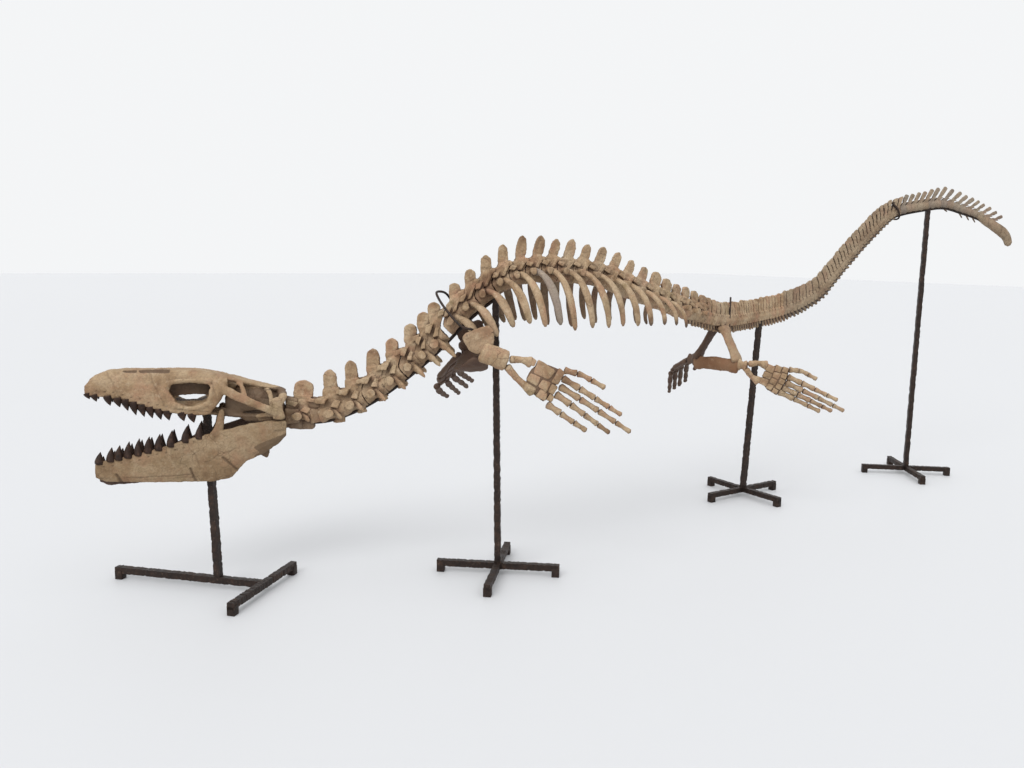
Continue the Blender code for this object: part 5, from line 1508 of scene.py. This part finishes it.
def rail(start, end, radius):
    """Rod that runs close under the vertebral bodies."""
    points = line_under(start, end, round((end - start) / 0.06),
                        lambda at: table(CENTRUM_RADIUS, at) * 0.92 + radius * 0.6)
    return round_rod(points, radius, 90)


def hoop_rod(points, across, cuts, blunt):
    """Thin round iron along bent points."""
    return shaft("hoop", points, (HOOP_RADIUS, HOOP_RADIUS), (HOOP_RADIUS, HOOP_RADIUS), across,
                 10, cuts, blunt, 0.5)


def hoop(name, distance, half_width, below, above, yaw):
    """Iron ring around one joint of the column, its plane turned by some degrees."""
    middle, _, _, up = column_frame(distance)
    outline = ((-0.28, above), (-1.0, below * 0.5), (-1.0, -below * 0.5), (-0.5, -below),
               (0.5, -below), (1.0, -below * 0.5), (1.0, below * 0.5), (0.28, above),
               (-0.28, above), (-0.60, above * 0.6))
    points = [middle + direction(yaw) * half_width * a + up * b for a, b in outline]
    iron_piece([hoop_rod(points, direction(yaw + 90), 90, 0.0)], name + "_forged", name)


HEAD_FOOT, HEAD_TOP = (-2.380, -0.118, 0.0583), (-2.398, -0.083, 0.845)
CHEST_FOOT, CHEST_TOP = (-1.137, -0.379, 0.0583), (-1.156, -0.378, 1.310)
HIP_FOOT, HIP_TOP = (0.789, 0.344, 0.0583), (0.822, 0.309, 1.110)
TAIL_FOOT, TAIL_TOP = (2.213, 0.420, 0.0583), (2.222, 0.411, 1.836)


def stands():
    """Bases, poles with their rods and rails, and the three hoops."""
    tee_base("stand_head_base", (-2.812, 0.177), (-2.195, -0.245), 52.8, 0.258)
    cross_base("stand_chest_base", CHEST_FOOT, (-28.0, 60.0))
    cross_base("stand_hip_base", HIP_FOOT, (11.0, 101.0))
    cross_base("stand_tail_base", TAIL_FOOT, (-29.0, 66.0))
    bar_ends = [HEAD @ Vector((0.485, y, 0.600)) for y in (-0.062, 0.062)]
    iron_piece([pole(HEAD_FOOT, HEAD_TOP, -34.4),
                iron_bar(bar_ends[0], bar_ends[1], UP, 0.020)],
               "stand_head_pole_forged", "stand_head_pole")
    arms = [round_rod(placed(SHOULDER_AT, [(0.030, 0.0, 1.10), (0.0, 0.165, 1.125)], side),
                      ROD_RADIUS)
            for side in (1, -1)]
    iron_piece([pole(CHEST_FOOT, CHEST_TOP, -28.0), *arms, rail(0.030, 1.075, RAIL_CHEST)],
               "stand_chest_pole_forged", "stand_chest_pole")
    iron_piece([pole(HIP_FOOT, HIP_TOP, 11.0)], "stand_hip_pole_forged", "stand_hip_pole")
    iron_piece([pole(TAIL_FOOT, TAIL_TOP, -29.0), rail(4.25, 5.50, RAIL_TAIL)],
               "stand_tail_pole_forged", "stand_tail_pole")
    arc = placed(SHOULDER_AT, HOOP_NEAR) + placed(SHOULDER_AT, HOOP_FAR[::-1], -1)
    iron_piece([hoop_rod(arc, level_back_at(SHOULDER_AT), 60, 0.3)],
               "stand_shoulder_hoop_forged", "stand_shoulder_hoop")
    hoop("stand_hip_hoop", LOIN_END, 0.050, 0.080, 0.122, 54.3)
    hoop("stand_tail_hoop", TAIL_ARCH_END - 0.036, 0.036, 0.044, 0.060, 98.0)


stands()
for master in MASTERS.values():
    bpy.data.objects.remove(master)


# Room, light and camera

FLOOR_SIZE, FLOOR_SHIFT = 80.0, 20.0
KEY_LIGHT = ("key_light", (-4.5, -3.5, 5.5), (-0.3, 0.2, 0.8), 32, 1.65)
TOP_LIGHT = ("top_light", (1.5, -1.5, 6.0), (0.8, 0.2, 0.8), 60, 0.7)
EYE = Vector((-2.509, -4.025, 1.5))
EYE_YAW, EYE_PITCH, EYE_ROLL = math.radians(21.5), math.radians(8.6), math.radians(0.5)
LENS_MM, SENSOR_MM = 30.164, 36.0


def stage():
    """Wide pale floor."""
    bpy.ops.object.select_all(action='DESELECT')
    bpy.ops.mesh.primitive_plane_add(size=FLOOR_SIZE, location=(0.0, FLOOR_SHIFT, 0.0))
    floor = bpy.context.object
    floor.name = "floor"
    f = Finish("pale_floor")
    f.shader.inputs["Base Color"].default_value = linear(199, 200, 202)
    f.shader.inputs["Roughness"].default_value = 0.55
    floor.data.materials.append(f.material)


def light(name, place, aim, spread_angle, strength):
    """Wide soft lamp, aimed from one place at another."""
    lamp = bpy.data.lights.new(name, 'SUN')
    lamp.angle = math.radians(spread_angle)
    lamp.energy = strength
    obj = bpy.data.objects.new(name, lamp)
    obj.location = place
    obj.rotation_euler = (Vector(aim) - Vector(place)).to_track_quat('-Z', 'Y').to_euler()
    bpy.context.scene.collection.objects.link(obj)


def lights():
    """Even pale sky and two soft lamps."""
    world = bpy.context.scene.world or bpy.data.worlds.new("studio")
    bpy.context.scene.world = world
    world.use_nodes = True
    background = world.node_tree.nodes["Background"]
    background.inputs["Color"].default_value = (0.905, 0.915, 0.925, 1.0)
    background.inputs["Strength"].default_value = 1.0
    light(*KEY_LIGHT)
    light(*TOP_LIGHT)
    settings = bpy.context.scene.view_settings
    settings.view_transform = 'Standard'
    settings.look = 'None'


def camera():
    """Camera at the photo's place, turned by its yaw, pitch and small roll."""
    level_right = Vector((math.cos(EYE_YAW), -math.sin(EYE_YAW), 0.0))
    level_ahead = Vector((math.sin(EYE_YAW), math.cos(EYE_YAW), 0.0))
    ahead = level_ahead * math.cos(EYE_PITCH) - UP * math.sin(EYE_PITCH)
    level_up = level_ahead * math.sin(EYE_PITCH) + UP * math.cos(EYE_PITCH)
    right = level_right * math.cos(EYE_ROLL) + level_up * math.sin(EYE_ROLL)
    upright = level_up * math.cos(EYE_ROLL) - level_right * math.sin(EYE_ROLL)
    lens = bpy.data.cameras.new("photo_camera")
    lens.sensor_width = SENSOR_MM
    lens.lens = LENS_MM
    lens.clip_end = 200.0
    obj = bpy.data.objects.new("photo_camera", lens)
    matrix = Matrix((right, upright, -ahead)).transposed().to_4x4()
    matrix.translation = EYE
    obj.matrix_world = matrix
    bpy.context.scene.collection.objects.link(obj)
    bpy.context.scene.camera = obj


stage()
lights()
camera()
